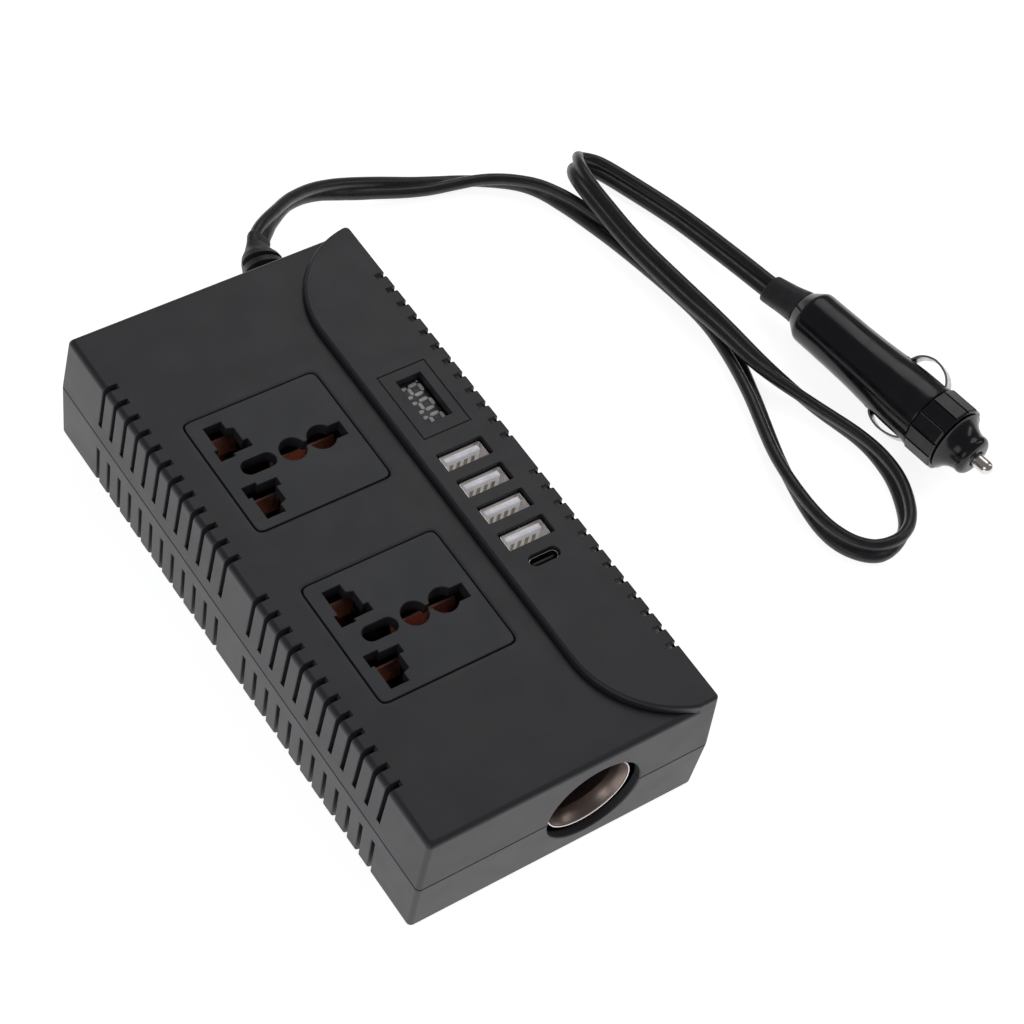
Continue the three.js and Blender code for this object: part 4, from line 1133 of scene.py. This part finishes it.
# ---- lighter socket ------------------------------------------------------------------------------
y0, y1 = SOCKET_LIP_Y, SOCKET_LIP_Y + SOCKET_DEPTH
bore, lip = SOCKET_BORE_R, SOCKET_LIP_R
cup_line = curve_through([
    (lip, y0 + 0.35), (lip - 0.5, y0 + 1.4), (bore + 1.2, y0 + 2.6), (bore + 0.6, y0 + 4.2),
], 5)
cup_line += [(bore + 0.5, y1), (6.5, y1), (6.5, y1 - 0.6), (bore, y1 - 0.6)]
cup_line += curve_through([
    (bore, y0 + 4.4), (bore + 0.45, y0 + 2.4), (bore + 1.1, y0 + 0.9), (lip - 0.35, y0 + 0.05),
], 5)
cup_line.append((lip - 0.1, y0))
cup = turned_along_y(cup_line, SOCKET_X, SEAM_Z, 128)
# The sleeve wears the nickel darkened as painted shade inside the cup.
piece("socket_sleeve", cup, SHADED_SOCKET_NICKEL, "case", ["socket_cup"])
lip_ring = turned_along_y([
    (lip - 0.42, y0 + 0.3), (lip - 0.35, y0 - 0.12), (lip - 0.1, y0 - 0.2), (lip + 0.06, y0 - 0.08),
    (lip + 0.06, y0 + 0.3),
], SOCKET_X, SEAM_Z, 128)
piece("socket_lip", lip_ring, LIP_NICKEL, "case")
disc = turned_along_y([
    (2.2, y1 - 4.5), (bore - 0.6, y1 - 4.5), (bore - 0.3, y1 - 4.2), (bore - 0.3, y1 - 0.7), (2.2, y1 - 0.7),
], SOCKET_X, SEAM_Z)
piece("socket_disc", disc, INNER, "case", ["socket_insulator"])
# The contact button at the cup's floor wears the same nickel darkened as painted shade.
button = turned_along_y([
    (0, y1 - 7.4), (1.4, y1 - 7.35), (2.6, y1 - 7.0), (3.2, y1 - 6.3), (3.4, y1 - 5.6), (3.4, y1 - 4.6),
    (2.1, y1 - 4.6), (2.1, y1 - 0.2), (0, y1 - 0.2),
], SOCKET_X, SEAM_Z, 48)
piece("socket_button", button, SHADED_SOCKET_NICKEL, "case", ["socket_contact"])

# ---- CAD nodes that keep their shape -------------------------------------------------------------
# The outlet body takes the black plastic darkened as painted shade for its holes.
KEPT = {
    "case_screw": SCREW, "outlet_body": DEEP_SHADED_PLASTIC, "contact_": COPPER, "port_board": BOARD, "main_board": BOARD,
    "transformer_core": FERRITE, "transformer_winding": TAPE, "output_capacitor": SLEEVE,
    "input_capacitor": SLEEVE,
    "heat_sink": ALUMINIUM, "transistor": INNER, "fan_frame": INNER, "fan_rotor": INNER,
}
for name, node in nodes.items():
    for start, material in KEPT.items():
        if name.startswith(start):
            node.data.materials.clear()
            node.data.materials.append(material)
            weld = node.modifiers.new("weld", "WELD")
            weld.merge_threshold = 1e-6
            bevel = node.modifiers.new("edges", "BEVEL")
            bevel.width = 0.15 * MM
            bevel.segments = 2
            bevel.limit_method = "ANGLE"
            bevel.angle_limit = math.radians(40)
            normals = node.modifiers.new("normals", "WEIGHTED_NORMAL")
            normals.keep_sharp = True

# ---- floor, light --------------------------------------------------------------------------------
floor = mesh_object(
    "floor", [(x * FLOOR_HALF, y * FLOOR_HALF, FLOOR_Z) for x, y in ((-1, -1), (1, -1), (1, 1), (-1, 1))],
    [(0, 1, 2, 3)])
floor_paint = Paint("floor", (0.82, 0.82, 0.82), 0.6, specular=0.1)
floor_paint.mottle(60, (0.84, 0.84, 0.84))
floor_paint.shader.inputs["Emission Color"].default_value = (1, 1, 1, 1)
floor_paint.shader.inputs["Emission Strength"].default_value = 0.85
floor.data.materials.append(floor_paint.material)


def area_light(name, at, look, size, radiance):
    """A rectangular soft light of the given radiance; at, look and size are in metres."""
    data = bpy.data.lights.new(name, "AREA")
    data.shape = "RECTANGLE"
    data.size, data.size_y = size
    data.energy = radiance * math.pi * size[0] * size[1]
    obj = bpy.data.objects.new(name, data)
    obj.location = at
    obj.rotation_mode = "QUATERNION"
    obj.rotation_quaternion = (Vector(look) - Vector(at)).to_track_quat("-Z", "Y")
    bpy.context.scene.collection.objects.link(obj)


MIDDLE_M = (0.05, 0.01, 0.02)
area_light("back_soft", (0.85, 0.85, 1.35), MIDDLE_M, (1.0, 1.0), 1.3)
area_light("front_left", (-1.6, -0.6, 0.9), MIDDLE_M, (1.2, 1.0), 1.25)
area_light("right_strip", (1.4, -0.5, 1.1), MIDDLE_M, (0.3, 1.2), 2.0)

world = bpy.data.worlds.new("world")
world.use_nodes = True
world.node_tree.nodes["Background"].inputs["Color"].default_value = (0.95, 0.97, 1.0, 1)
world.node_tree.nodes["Background"].inputs["Strength"].default_value = 0.18
bpy.context.scene.world = world
bpy.context.scene.view_settings.view_transform = "Standard"
bpy.context.scene.view_settings.look = "None"
